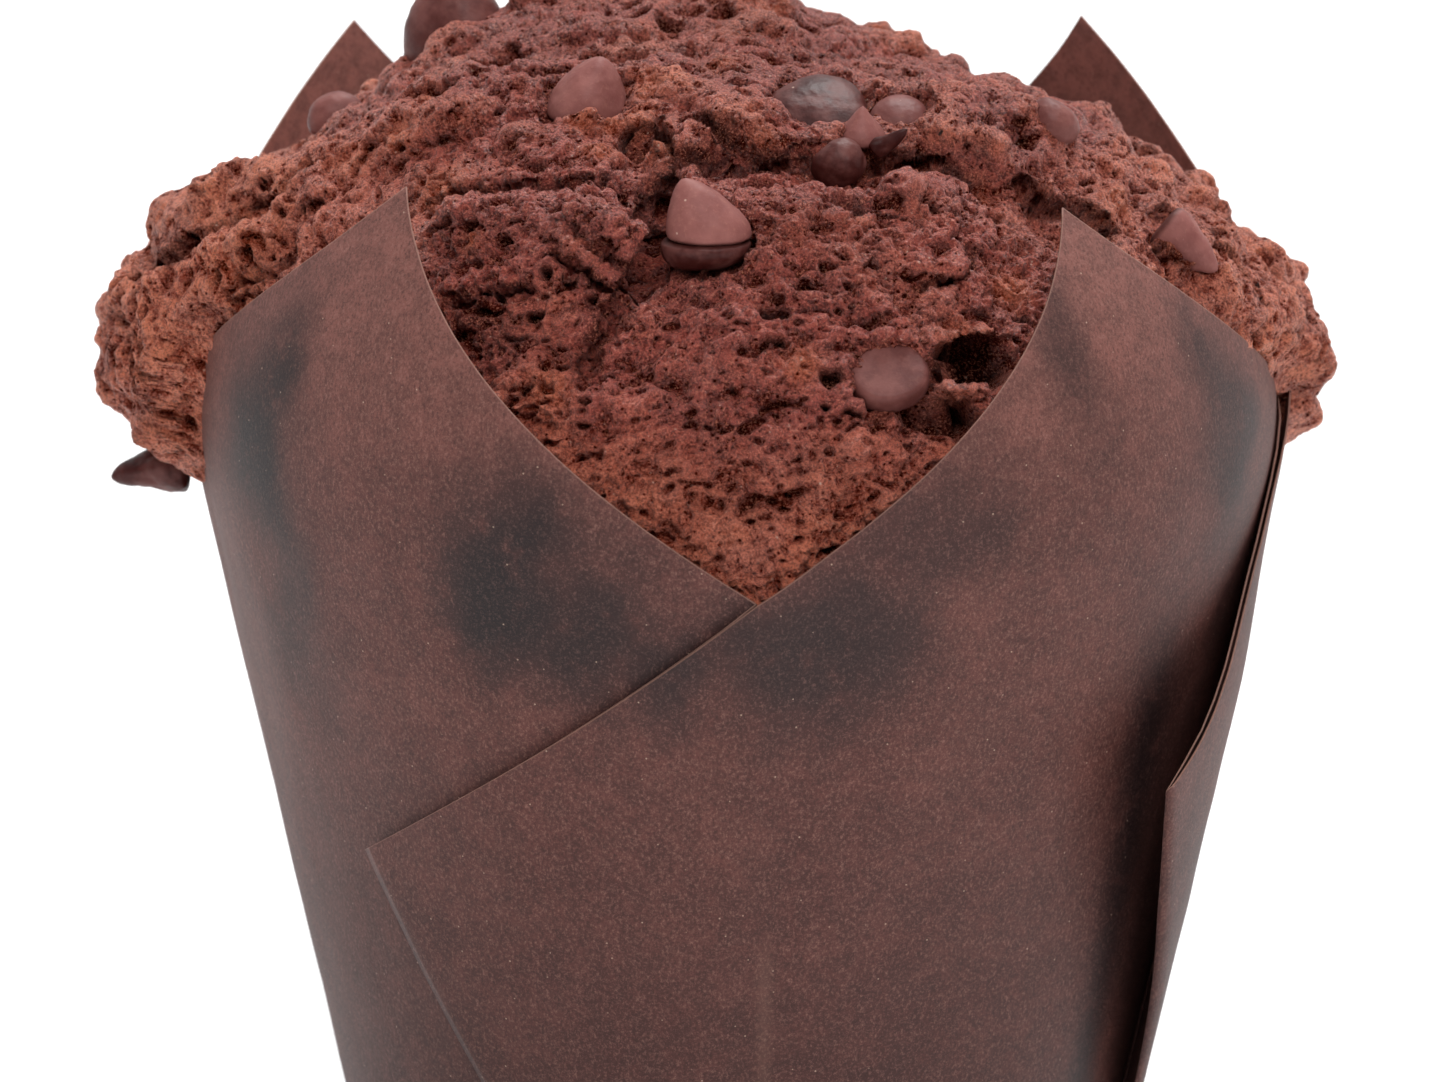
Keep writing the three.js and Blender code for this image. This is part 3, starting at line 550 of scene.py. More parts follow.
# Marks on the crown are placed as a front view shows them: mm across and up from the view's middle,
# and their turn in it in degrees. Knobs (height > 0): across, up, turn, half length and width, height
KNOBS = np.array([
    [-19.5, 29, 5, 3, 1.7, 1.1], [-15.4, 29.9, -5, 2.6, 1.4, 0.5], [-9.1, 29.5, -5, 2.1, 0.75, 1],
    [-5.4, 29.9, 15, 1.3, 0.85, 1.3], [-4, 27.1, -75, 1.4, 0.3, 0.9], [-4.5, 32, -30, 2.7, 1.5, 1.2],
    [-8.3, 21.6, -30, 2.6, 1.2, 1.9], [-6.2, 20.6, 40, 1.6, 0.85, 1], [-10.1, 20.3, -35, 1.6, 0.35, 1],
    [-6.6, 17.3, -20, 1, 0.55, 1], [-16.7, 22.9, -5, 5.2, 1.4, 0.9], [-11.2, 16.8, -60, 1.6, 0.7, 0.8],
    [5.5, 25.8, -5, 3.6, 0.45, 1.1], [12.5, 24.4, -15, 2.1, 0.95, 0.7],
    [18.5, 27.7, -15, 1.7, 0.95, 1.3], [22.1, 24.6, 30, 1, 0.7, 1.5], [20.9, 29.5, 30, 0.95, 0.8, 0.8],
    [25.8, 26.2, -20, 3.2, 2.6, 0.9], [15.3, 19, 10, 2.2, 0.8, 0.8], [17.1, 14.3, 0, 2.9, 0.45, 1.4],
    [16.1, 10.2, 0, 2.1, 0.35, 1.1], [-34, 24.2, 25, 3.7, 2.1, 2.2], [-35.2, 20.4, 25, 4.8, 1.5, 1.2],
    [-39.6, 18.3, 60, 2.1, 1.6, 0.8], [10.9, 35.2, 5, 2.9, 1.2, 1.2], [13.3, 34.2, -5, 1.4, 1.2, 0.9],
    [16.5, 33.3, -10, 2.3, 1.2, 1.3], [2.8, 35.6, -5, 2.8, 1.6, 1], [5.6, 30.7, 0, 2.1, 1.2, 0.4],
    [-2.1, 15.4, 10, 3.5, 0.8, 0.6],
])
# clefts: half width, depth, then the line that each follows, as places in the front view
CLEFTS = [
    (0.45, 2.2, [(-4.4, 28.9), (-3.5, 27.4), (-3.3, 25.9), (-3.7, 24.3)]),
    (1.25, 3.8, [(-3.7, 24.3), (-4.5, 22.8), (-4.7, 20.9), (-5, 19.5), (-5.4, 17.9)]),
    (0.8, 2.2, [(-5.4, 17.9), (-7.5, 16), (-8.5, 14.4), (-9.4, 12.1)]),
    (0.4, 1.9, [(-10.8, 21.9), (-9.4, 20.8), (-8, 19.7), (-6.1, 18.9)]),
    (0.4, 1.4, [(-11.7, 20.1), (-10.1, 19), (-8.4, 18.1), (-7, 16.8)]),
    (0.5, 1.6, [(-19.5, 23.7), (-15.6, 24.4), (-11.2, 25), (-8.3, 24.4), (-6.4, 22.8)]),
    (0.5, 1.4, [(-19, 16.7), (-16.4, 17.3), (-13.6, 17.4)]),
    (0.9, 2.4, [(-2.1, 26.6), (0.7, 26.1), (3.1, 26.3), (5.5, 26.3), (8.1, 24.6)]),
    (0.9, 2.4, [(10.5, 26.1), (12.9, 26.3), (15.6, 26), (17.4, 25.1)]),
    (0.7, 2.2, [(21, 24.7), (21.6, 23.5), (23.3, 22.9), (25.5, 23), (27.1, 21.8)]),
    (0.4, 1.3, [(17.6, 20.3), (17.3, 19), (15.7, 17.9), (13.8, 17.6)]),
    (0.8, 2.4, [(-29.3, 26.2), (-31.3, 24.5), (-33.8, 22.7), (-36.2, 21.2), (-39.4, 19.2)]),
    (0.55, 2, [(-29.9, 19.9), (-32, 19), (-34, 18.1)]),
    (0.4, 1.2, [(-32.4, 17.5), (-34.5, 16.2)]),
    (0.7, 1.8, [(-1.4, 29.4), (0.1, 28.3), (1.4, 27.2)]),
    (0.5, 1.4, [(28.2, 28.8), (30.8, 27.1), (33.8, 24.4), (35.1, 22.8)]),
    (0.45, 1.3, [(34.2, 21.3), (36.3, 19.5), (38.3, 16.8)]),
    (0.5, 1.7, [(-41.4, 13.2), (-41.2, 11.1)]),
    (0.45, 1.5, [(-40.7, 13.3), (-40.8, 11.8)]),
]
# holes torn in the crust: across, up, turn, half length and width, depth
HOLES = np.array([
    [-5.6, 27.7, -5, 1.4, 1.2, 4], [-12, 29.8, -10, 0.8, 0.65, 1.2], [-7.8, 34.7, 10, 0.85, 0.35, 1.2],
    [-3.8, 36.3, -10, 1, 0.7, 1.4], [-13.8, 33.9, 20, 0.7, 0.35, 1], [1.7, 32, -15, 1.4, 1.1, 2.2],
    [3.1, 26.4, 5, 1.1, 0.55, 2.2], [1, 25.9, -55, 0.7, 0.35, 1], [-9.6, 25.4, 10, 0.75, 0.4, 1.6],
    [-12.7, 26.3, 10, 0.7, 0.45, 1.2], [-8.1, 25, -20, 0.55, 0.45, 1.4],
    [-15.6, 24.4, -5, 0.95, 0.3, 1.4], [-19.5, 23.7, 15, 1.3, 0.35, 1.6],
    [-5.5, 18, -15, 0.8, 0.75, 2.6], [-7.8, 15.7, -65, 0.8, 0.5, 2.2],
    [-10.3, 18.5, -70, 0.75, 0.5, 1.8], [-12.1, 18.6, -70, 0.6, 0.3, 1.4],
    [-9, 16.8, -15, 0.7, 0.35, 1.4], [-16.4, 17.4, 0, 2.1, 0.35, 1.7], [-18.8, 16.9, -15, 1, 0.35, 1.4],
    [-12.9, 15.6, 5, 1, 0.35, 1.2], [-14, 14.1, -5, 1.4, 0.3, 1.2], [-15.6, 12.1, -65, 0.7, 0.3, 1.4],
    [3.8, 16, -5, 1.2, 0.45, 2], [3.8, 14.1, -5, 0.65, 0.3, 1.4], [0.5, 10.9, -70, 0.65, 0.3, 1.5],
    [-13.6, 10.6, 0, 0.5, 0.3, 1.2], [-9.6, 10.1, -25, 0.6, 0.3, 1], [-9.2, 12.2, -75, 0.65, 0.35, 1.2],
    [15.6, 26, -10, 1.6, 0.8, 3.4], [18.8, 27.2, -15, 0.95, 0.4, 1.8], [19, 29.4, -70, 0.45, 0.4, 1.5],
    [9, 23.2, -35, 1.2, 0.7, 2.2], [12.1, 26.4, -20, 0.85, 0.55, 1.6],
    [25.8, 22.7, -35, 1.1, 0.45, 2.4], [28.9, 21.6, -20, 1, 0.4, 1.4],
    [30.4, 20.7, -65, 0.75, 0.45, 1.6], [32.7, 19.2, -5, 1.9, 0.3, 1.2],
    [14.8, 22.9, -20, 0.55, 0.35, 1.1], [19, 22.7, 0, 0.95, 0.4, 1.3], [16.4, 20.9, 10, 0.8, 0.3, 1.3],
    [15, 15.7, 0, 0.6, 0.25, 1.1], [9.9, 15.2, -5, 0.65, 0.4, 1.3], [21.2, 15.5, -30, 0.35, 0.35, 1.4],
    [14.2, 14, 0, 0.75, 0.6, 1.8], [17.9, 12.6, 0, 3.3, 1.4, 4.6], [15.6, 11.8, 0, 1.7, 0.8, 3.6],
    [15.5, 8.6, -15, 2.8, 1.3, 4.2], [7.8, 11.4, -10, 0.85, 0.6, 1.5], [10.3, 8.8, -10, 1.6, 0.3, 1.5],
    [7.1, 9.2, 0, 0.75, 0.3, 1.2], [-41.6, 16.1, -80, 1.4, 0.65, 1.6],
    [-40.9, 18.5, -80, 2.4, 0.55, 1.2], [-32.7, 23.7, 25, 1.4, 0.8, 2.2],
    [-29.3, 22.9, -60, 0.55, 0.35, 1.6], [-29.7, 20.5, -75, 1, 0.4, 2.4],
    [-35.5, 18.4, 60, 0.65, 0.5, 1.3], [-41, 14.3, -75, 0.5, 0.35, 1.2],
])
# where the crust baked to amber, and painted highlights along the lit crests: across, up, radius
AMBER_AND_LIGHT = np.array([
    [-9.4, 29.3, 1.1], [-7.5, 29.1, 1], [-5.6, 29.3, 1.4], [-4, 27.3, 0.9], [-4.8, 31.3, 1.4],
    [-8.4, 27.3, 1.1], [10.9, 35.2, 1.4], [12.9, 31.7, 0.8], [16.8, 13.9, 1.3], [18.5, 24.7, 1.1],
    [9.8, 22.2, 0.5], [-10.3, 20.4, 0.7], [-9.2, 19.7, 0.6], [5.6, 12.2, 1.2], [3.1, 27.9, 1.2],
    [-20.5, 31.3, 1.2], [-19.5, 24.6, 2], [-32.8, 21.3, 2.2], [-34.5, 19, 2.2], [-12.2, 10.5, 1.6],
    [-25.7, 27.1, 1.6], [-22.3, 28.3, 1.4], [20.2, 17.4, 1.4], [3.5, 36.7, 1.6], [27.9, 23.4, 1.6],
    [-17.5, 21, 0.8], [16.1, 10.1, 0.9], [0.1, 33.6, 1.4],
])
# where the torn face is dark, partly damp and partly painted shade in its valleys and on faces turned from the
# light: across, up, radius, strength
DAMP_AND_SHADE = np.array([
    [-17.4, 15.3, 1.9, 0.65], [-15.3, 14.1, 1.3, 0.45], [-11.5, 21, 1.1, 0.4], [-2.9, 22.6, 1.4, 0.15],
    [-5.9, 18, 1.1, 0.45], [-8.3, 16.5, 1.3, 0.55], [-11.4, 13.4, 0.9, 0.25], [9.7, 24.9, 1.5, 0.3],
    [14.6, 26.3, 1.4, 0.45], [18, 25, 1.2, 0.45], [3.4, 27.7, 1.2, 0.35], [3.3, 16.8, 1, 0.45],
    [9, 16.7, 1, 0.4], [-29.9, 20.6, 1, 0.5], [4.4, 22.2, 5.5, 0.2], [-1.5, 1.9, 5, 0.24],
    [3.5, 34.5, 7, 0.18],
])
# where each chip sits in the crust: place, radius, how deep the crust lies below it
SEATS = np.array([
    [-10.0, -9.6, 84.4, 2.6, -0.2], [-1.9, -24.6, 78.4, 2.6, 0.6], [9.8, -30.2, 70.8, 2.5, 0.0],
    [30.2, -11.6, 75.9, 1.9, 0.1],
    [5.6, -10.4, 84.9, 3.3, 0.1], [11.0, -10.9, 84.5, 1.9, 0.0], [8.0, -15.2, 83.2, 1.4, 0.0],
    [7.1, -16.6, 82.4, 1.6, 0.1], [21.2, -8.8, 83.6, 1.7, 0.0],
])


def lobe_sums(azimuth):
    """The lobes' swelling out and up at each azimuth: cos^2 humps of each lobe's half width."""
    across = np.clip(wrapped(azimuth[..., None] - LOBES[:, 0]) / LOBES[:, 3], -1, 1)
    humps = np.cos(np.pi / 2 * across) ** 2
    return humps @ LOBES[:, 1], humps @ LOBES[:, 2]


def mound_height(x, y):
    """The wide swellings added up: high * exp(-(along / long)^2 - (across / wide)^2)."""
    turn = np.radians(MOUNDS[:, 4])
    from_x = x[..., None] - MOUNDS[:, 0]
    from_y = y[..., None] - MOUNDS[:, 1]
    along = (from_x * np.cos(turn) + from_y * np.sin(turn)) / MOUNDS[:, 2]
    across = (from_y * np.cos(turn) - from_x * np.sin(turn)) / MOUNDS[:, 3]
    return (MOUNDS[:, 5] * np.exp(-along ** 2 - across ** 2)).sum(-1)


def paper_room(azimuth, height):
    """The radius that the paper leaves the crumb: its wall, opening by SPILL a mm above its edge, or
    above a lobe's lip where one hangs over it."""
    limit = wall_radius(height, petal_at(azimuth)) - CRUMB_GAP
    lip = edge_height(azimuth) + EDGE_CLEARANCE
    for middle, low, half in LIPS:
        lip = lip + (low - lip) * smooth_step(half, 0.3 * half, np.abs(wrapped(azimuth - middle)))
    return limit + SPILL * SPILL_EASE * np.logaddexp(0, (height - lip) / SPILL_EASE - 0.7)


def held_in_paper(points, ease, waved=False):
    """Points brought inside the paper's room, or the room of the paper with its waves, by the smooth
    least of two radii, (a + b - sqrt((a - b)^2 + ease^2)) / 2."""
    radius = np.hypot(points[..., 0], points[..., 1])
    azimuth = np.degrees(np.arctan2(points[..., 1], points[..., 0]))
    room = paper_room(azimuth, points[..., 2])
    if waved:
        room = room + paper_wave(around_axis(azimuth, room, points[..., 2]))
    kept = (radius + room - np.sqrt((radius - room) ** 2 + ease ** 2)) / 2
    return points * np.stack([kept / np.maximum(radius, 1e-9)] * 2 + [np.ones_like(kept)], -1)


def crown_base(turned):
    """The crown without its texture, from the angle down from its top as a vector (degrees times
    azimuth's cos and sin): to the widest ring r = reach sin^0.98, z = level + (top - level) cos, and
    below it the underside turns in to the neck. It is held inside the paper."""
    down = np.hypot(turned[..., 0], turned[..., 1])
    azimuth = np.degrees(np.arctan2(turned[..., 1], turned[..., 0]))
    out, up = lobe_sums(azimuth)
    reach = NECK_RADIUS + out
    level = RIM_HEIGHT + up
    underside = np.minimum(UNDERSIDE_HEIGHT, level - 1)
    sine = np.abs(np.sin(np.radians(down)))
    cosine = np.cos(np.radians(down))
    above = down <= 90
    under = NECK_RADIUS + (reach - NECK_RADIUS) * sine ** UNDERSIDE_FULLNESS
    radius = np.where(above, reach * sine ** CROWN_FULLNESS, under)
    height = level + np.where(above, CROWN_HEIGHT - level, level - underside) * cosine
    turn = np.radians(azimuth)
    mounds = mound_height(radius * np.cos(turn), radius * np.sin(turn))
    height = height + np.sqrt(np.maximum(0, cosine)) * mounds
    return held_in_paper(around_axis(azimuth, radius, height), 1.4 * smooth_step(0, 40, down))


def facing(surface, turned, step=0.3):
    """A surface's outward normal: the cross product of its slopes along the two angles."""
    east = surface(turned + (step, 0)) - surface(turned - (step, 0))
    north = surface(turned + (0, step)) - surface(turned - (0, step))
    return unit(np.cross(east, north))


def crown_in_view():
    """The untextured crown every half degree, where it faces the front view: its points, its normals,
    their places in the view and how far away they are."""
    angles = np.arange(-125, 125.5, 0.5)
    turned = np.stack(np.meshgrid(angles, angles, indexing="ij"), -1).reshape(-1, 2)
    turned = turned[np.hypot(*turned.T) < 125]
    points, normals = crown_base(turned), facing(crown_base, turned)
    faces_eye = normals @ VIEW_AHEAD < -0.03
    points, normals = points[faces_eye], normals[faces_eye]
    away = points - VIEW_MIDDLE
    distance = VIEW_DISTANCE + away @ VIEW_AHEAD
    shown = VIEW_DISTANCE * np.stack([away[:, 0], away @ VIEW_UP], -1) / distance[:, None]
    return points, normals, shown, distance


SEEN_POINTS, SEEN_NORMALS, SHOWN, SEEN_DISTANCE = crown_in_view()


def seen_on_crown(places):
    """The crown's points, and its normals there, at places in the front view: of the points shown
    within half a millimetre and 2 mm behind the nearest of them, the one closest to the place."""
    found = []
    for place in places:
        apart = np.linalg.norm(SHOWN - place, axis=-1)
        near = np.flatnonzero(apart < SAME_PLACE)
        near = near[SEEN_DISTANCE[near] < SEEN_DISTANCE[near].min() + SAME_DISTANCE]
        found.append(near[apart[near].argmin()])
    return SEEN_POINTS[found], SEEN_NORMALS[found]


def spots_on_crown(spots):
    """Round marks with their place in the front view turned into their place on the crown."""
    return np.concatenate([seen_on_crown(spots[:, :2])[0], spots[:, 2:]], 1)


def strokes_on_crown(strokes):
    """Long marks with their place and turn in the front view made a place and a direction on the
    crown: the turned direction, slid along the line of sight until it lies in the surface."""
    places, normals = seen_on_crown(strokes[:, :2])
    turn = np.radians(strokes[:, 2:3])
    flat = np.cos(turn) * (1, 0, 0) + np.sin(turn) * VIEW_UP
    slid = ((flat * normals).sum(-1) / (normals @ VIEW_AHEAD))[:, None] * VIEW_AHEAD
    return np.concatenate([places, unit(flat - slid), strokes[:, 3:]], 1)


knob_strokes = strokes_on_crown(KNOBS)
hole_strokes = strokes_on_crown(HOLES)
amber_and_light_spots = spots_on_crown(AMBER_AND_LIGHT)
damp_and_shade_spots = spots_on_crown(DAMP_AND_SHADE)
cleft_lines = [(half, depth, seen_on_crown(line)[0]) for half, depth, line in CLEFTS]


def nearby(points, shapes, reach=9.0):
    """The shapes whose place lies within a reach of the box round the points."""
    low = points.reshape(-1, 3).min(0) - reach
    high = points.reshape(-1, 3).max(0) + reach
    return shapes[((shapes[:, :3] > low) & (shapes[:, :3] < high)).all(-1)]


def strongest(values):
    """The greatest value along the last axis, and 0 where there is none."""
    return values.max(-1, initial=0)


def ellipsoids(points, shapes):
    """The distance of points from long ellipsoids, in their own radii: their place, their direction,
    the half length along it and the half width across it."""
    away = points[..., None, :] - shapes[:, :3]
    along = (away * shapes[:, 3:6]).sum(-1)
    across2 = np.maximum(0, (away ** 2).sum(-1) - along ** 2)
    return np.sqrt((along / shapes[:, 6]) ** 2 + across2 / shapes[:, 7] ** 2)


def line_distance(points, line):
    """The distance of points from a line of straight stretches, the least over the stretches."""
    nearest = np.inf
    for start, end in zip(line[:-1], line[1:]):
        run = end - start
        share = np.clip(((points - start) @ run) / (run @ run), 0, 1)
        nearest = np.minimum(nearest, np.linalg.norm(points - start - share[..., None] * run, axis=-1))
    return nearest


def bent(points, size, amount, channel):
    """Points pushed about by noise of a size, so that what is drawn on them turns ragged."""
    push = [rough_noise(points, size, 2, channel + 7 * axis) for axis in range(3)]
    return points + amount * np.stack(push, -1)


def torn_face(points):
    """How far a point lies on the torn inside of the crumb, 0 to 1: the tongue and its left bank."""
    x, y, z = np.moveaxis(points, -1, 0)
    front = smooth_step(-15.5, -18.5, y + 0.06 * (x - 4))
    left = smooth_step(-21, -17, x + 0.35 * (z - 74))
    right = smooth_step(25, 21, x - 0.2 * (z - 74))
    return front * left * right


def lumps(points):
    """The relief wider than 2 mm: rounded swellings with creases between them (the size of noise
    taken without its sign), the knobs and hollows, and the clefts."""
    torn = torn_face(points)
    back = 1 + 0.45 * smooth_step(-9, 0, points[..., 1])
    ragged = bent(points, 4.0, 0.9, 29)
    bulges = 0.5 * rough_noise(points, 8.5, 1, 31) * (1 - 0.5 * torn)
    coarse, fine = (1.3, (6.4, 5.0, 5.0), 37, 0.65), (0.95, (3.6, 2.7, 2.7), 41, 0.6)
    for high, across, channel, smoother in (coarse, fine):
        creased = np.abs(smooth_noise(ragged / across, channel)) - 0.3
        bulges += high * back * creased * (1 - smoother * torn)
    close = nearby(points, knob_strokes)
    knobs = (close[:, 8] * np.exp(-ellipsoids(points, close) ** 2)).sum(-1)
    ragged = bent(points, 1.4, 0.35, 71)
    cleft = 0
    for half, depth, line in cleft_lines:
        if len(nearby(points, line)):
            away = line_distance(ragged, line)
            cleft = np.maximum(cleft, depth * smooth_step(1.35 * half, 0.25 * half, away))
    return bulges + knobs - cleft


def crown_shaped(turned):
    """The crown with its lumps, pushed out along its own normals, and level under each chip."""
    points = crown_base(turned)
    normals = facing(crown_base, turned)
    height = lumps(points)
    for x, y, z, radius, sink in SEATS:
        away = np.array([x, y, z]) - points
        share = smooth_step(1.3 * radius, 0.85 * radius, np.linalg.norm(away, axis=-1))
        height = height * (1 - share) + ((away * normals).sum(-1) - sink) * share
    return points + normals * height[..., None], height


def scattered_pits(points, grain, spacing, stretch, share, radius, channel):
    """How deep points lie in scattered pits, 0 to 1. A share of the cells of a lattice hold one, with
    a random centre and a radius of 0.5 to 1 times the given one; d is the distance in radii, shortened
    along the grain, and the pit is steep-walled: 3t^2 - 2t^3 with t = (1 - d^2) / 0.6."""
    scaled = points / spacing
    cells = np.floor(scaled - 0.5).astype(np.int64)
    deepest = np.zeros(points.shape[:-1])
    for offset in np.ndindex(2, 2, 2):
        cell = cells + np.array(offset)
        place = np.stack([lattice_random(cell, channel + axis) for axis in range(3)], -1)
        away = (scaled - cell - 0.2 - 0.6 * place) * spacing
        along2 = (away * grain).sum(-1) ** 2
        distance2 = (away ** 2).sum(-1) - (1 - stretch ** -2) * along2
        lot = lattice_random(cell, channel + 3) / share
        reach = radius * (0.5 + 0.5 * lot ** 2)
        depth = smooth_step(0, 0.6, 1 - distance2 / reach ** 2) * (0.5 + 0.5 * lot)
        deepest = np.maximum(deepest, np.where(lot < 1, depth, 0))
    return deepest


def crumb_grain(points, normals):
    """The way that the crumb is drawn out: nearly level over the top and the tongue, downhill on the
    lobes' flanks, and always along the surface."""
    torn = torn_face(points)[..., None]
    outward = unit(points * (1, 1, 0))
    steep = smooth_step(80, 71, points[..., 2])[..., None] * (1 - torn)
    grain = np.array([0.97, 0, 0.22]) * (1 - steep) + (outward * 0.3 - (0, 0, 0.95)) * steep
    return unit(grain - (grain * normals).sum(-1, keepdims=True) * normals)


def crumb_texture(points, normals):
    """The relief finer than 2 mm in mm, and how deep in it each point lies, 0 to 1: lumps and flakes
    of noise in four sizes, level folds on the torn face, and pits of three sizes."""
    torn = torn_face(points)
    grain = crumb_grain(points, normals)
    ragged = bent(points, 1.1, 0.34, 101)
    wide = scattered_pits(ragged, grain, 2.1, 2.0, 0.38, 0.8, 211)
    medium = scattered_pits(ragged, grain, 1.15, 2.2, 0.45, 0.42, 223)
    fine = scattered_pits(ragged, grain, 0.66, 1.8, 0.5, 0.28, 239)
    along_folds = ragged @ np.array([[0.97, 0, -0.22], [0, 1, 0], [0.22, 0, 0.97]]) / (3.0, 1.3, 0.95)
    folds = 1 - 2 * np.abs(smooth_noise(along_folds, 251))
    coarse = rough_noise(ragged, 1.9, 2, 257, 0.6)
    flakes = rough_noise(bent(points, 0.7, 0.2, 281), 0.55, 2, 263, 0.7)
    front = 1 - 0.4 * smooth_step(-9, 0, points[..., 1])
    height = -0.95 * wide * (1 - 0.2 * torn) - 0.6 * medium * front - 0.34 * fine * front
    height += folds * torn * 0.28 + coarse * 0.38 + flakes * (0.18 + 0.12 * torn) * front
    depth = wide * 1.4 + (medium * 1.2 + fine) * front - 0.35 * coarse - 0.4 * flakes
    return height, np.clip(0.3 * (1 + depth) - 0.12 * folds * torn, 0, 1)


# proud colours are the crumb lit and sunk colours its darker copies: blended by depth, they paint the shade in
# the relief's hollows, and the pore red paints the deepest shade
CRUMB_PROUD = srgb(188, 84, 70)
CRUMB_SUNK = srgb(110, 30, 20)
CRUST_PROUD = srgb(244, 138, 98)
CRUST_SUNK = srgb(170, 66, 38)
PATCH_PROUD = srgb(156, 80, 72)
PATCH_SUNK = srgb(98, 28, 22)
AMBER_AND_LIGHT_PROUD = srgb(228, 122, 76)
AMBER_AND_LIGHT_SUNK = srgb(186, 74, 36)
PORE_SHADE_RED = srgb(50, 7, 3)
MOIST_AND_SHADE_RED = srgb(30, 4, 2)
GRIT_SHADE = srgb(40, 9, 5)
GRIT_GLINT = srgb(236, 150, 122)
SUGAR = srgb(222, 190, 172)


def crumb_finish():
    """Baked chocolate crumb: a deep red brown, browner and drier on the crust, near-black red and dull
    in the pores, glossy on the proud moist flakes, with a few pale specks of sugar. Its colour darkens
    deeper in the relief, in its clefts and holes and round the chips as painted shade, and its fine grit
    and crests carry painted glints and highlights."""
    crumb = Finish("chocolate_crumb", Specular_IOR_Level=0.8)
    crust = crumb.attribute("crust")
    amber_and_light = crumb.attribute("amber_and_light")
    depth = crumb.attribute("depth")
    moist_and_shade = crumb.attribute("moist_and_shade")
    patches = crumb.noise(4.5, detail=4, roughness=0.6)
    grain = crumb.noise(0.7, detail=6, roughness=0.85)
    grit = crumb.noise(0.17, detail=3, roughness=0.75)
    flakes = crumb.cells(0.34)
    pores = crumb.cells(0.6).between(0.28, 0.08)
    speck = crumb.cells(0.9)
    level = depth + (0.5 - grain) * 2.1 + pores * 0.4
    sunk = crumb.blend(crust, CRUMB_SUNK, CRUST_SUNK)
    sunk = crumb.blend(patches.between(0.4, 0.65) * 0.6, sunk, PATCH_SUNK)
    # amber crust together with painted highlights along the lit crests
    sunk = crumb.blend(amber_and_light * 0.75, sunk, AMBER_AND_LIGHT_SUNK)
    proud = crumb.blend(crust, CRUMB_PROUD, CRUST_PROUD)
    proud = crumb.blend(patches.between(0.45, 0.6) * 0.35, proud, PATCH_PROUD)
    proud = crumb.blend(amber_and_light * 0.7, proud, AMBER_AND_LIGHT_PROUD)
    # painted shade: the deeper a point lies in the relief, the darker and redder its colour, down to near-black
    # red in the pores
    colour = crumb.blend(level.between(0.16, 0.5), proud, sunk)
    colour = crumb.blend(level.between(0.46, 0.86), colour, PORE_SHADE_RED)
    # painted shade in the clefts, holes and round the chips, together with the damp patches
    colour = crumb.blend(moist_and_shade, colour, MOIST_AND_SHADE_RED)
    # fine grit specks over the grain: the dark ones paint micro-shade and the pale ones paint glints
    colour = crumb.blend(grit.between(0.51, 0.36) * 0.65, colour, GRIT_SHADE)
    colour = crumb.blend(grit.between(0.52, 0.64) * 0.6, colour, GRIT_GLINT)
    colour = crumb.blend(speck.between(0.14, 0.05) * grit.between(0.5, 0.6), colour, SUGAR)
    crumb.feed(Base_Color=colour, Roughness=patches * 0.2 + crust * 0.12 - moist_and_shade * 0.1 + 0.29)
    crumb.bump(grain * 0.8 + grit * 0.8 - pores * 0.35 - flakes * 0.3, 0.6)
    crumb.dull(level.between(0.3, 0.7) + moist_and_shade, colour)
    return crumb.material


def square_quarter(first, second, start):
    """A quarter of the crown on a unit square: the top is its corner and the neck's quarter turn runs
    along its two far sides, so its cells stay even. Gives the angle down as a vector."""
    first, second = np.meshgrid(first, second, indexing="ij")
    reach = np.maximum(np.abs(first), np.abs(second))
    least = np.where(np.abs(first) >= np.abs(second), second, first) / np.maximum(reach, 1e-9)
    turn = np.where(np.abs(first) >= np.abs(second), 45 * least, 90 - 45 * least)
    below = 90 + 90 * (reach - EQUATOR_SHARE) / (1 - EQUATOR_SHARE)
    down = np.where(reach < EQUATOR_SHARE, 90 * reach / EQUATOR_SHARE, below)
    azimuth = np.radians(start + turn)
    return np.stack([down * np.cos(azimuth), down * np.sin(azimuth)], -1)


def browned_crust(points, torn, lump):
    """How browned the crust is, 0 to 1: most on the lobes' flanks, on what stands proud, where the
    lightening is also a painted highlight, and on the dry edges by the paper."""
    x, y, z = np.moveaxis(points, -1, 0)
    flanks = smooth_step(22, 36, np.hypot(x, y * 0.8))
    low = smooth_step(72, 63, z)
    patchy = rough_noise(points, 6, 3, 307)
    # browner on the proud lumps and less in the hollows: browning, and also a painted highlight on the crests
    # and painted shade in the hollows
    proud = 0.45 * (smooth_step(-0.2, 1.3, lump) - 0.5) * (1 - 0.5 * torn)
    even = (0.3 + 0.7 * flanks) * (1 - 0.8 * torn) + 0.6 * torn * low
    return np.clip(even + proud + 0.3 * patchy, 0, 1)


def slopes_cross(points):
    """A grid's normals, one cell in from its border: the cross product of the two slopes there."""
    along = points[2:, 1:-1] - points[:-2, 1:-1]
    across = points[1:-1, 2:] - points[1:-1, :-2]
    return unit(np.cross(along, across))


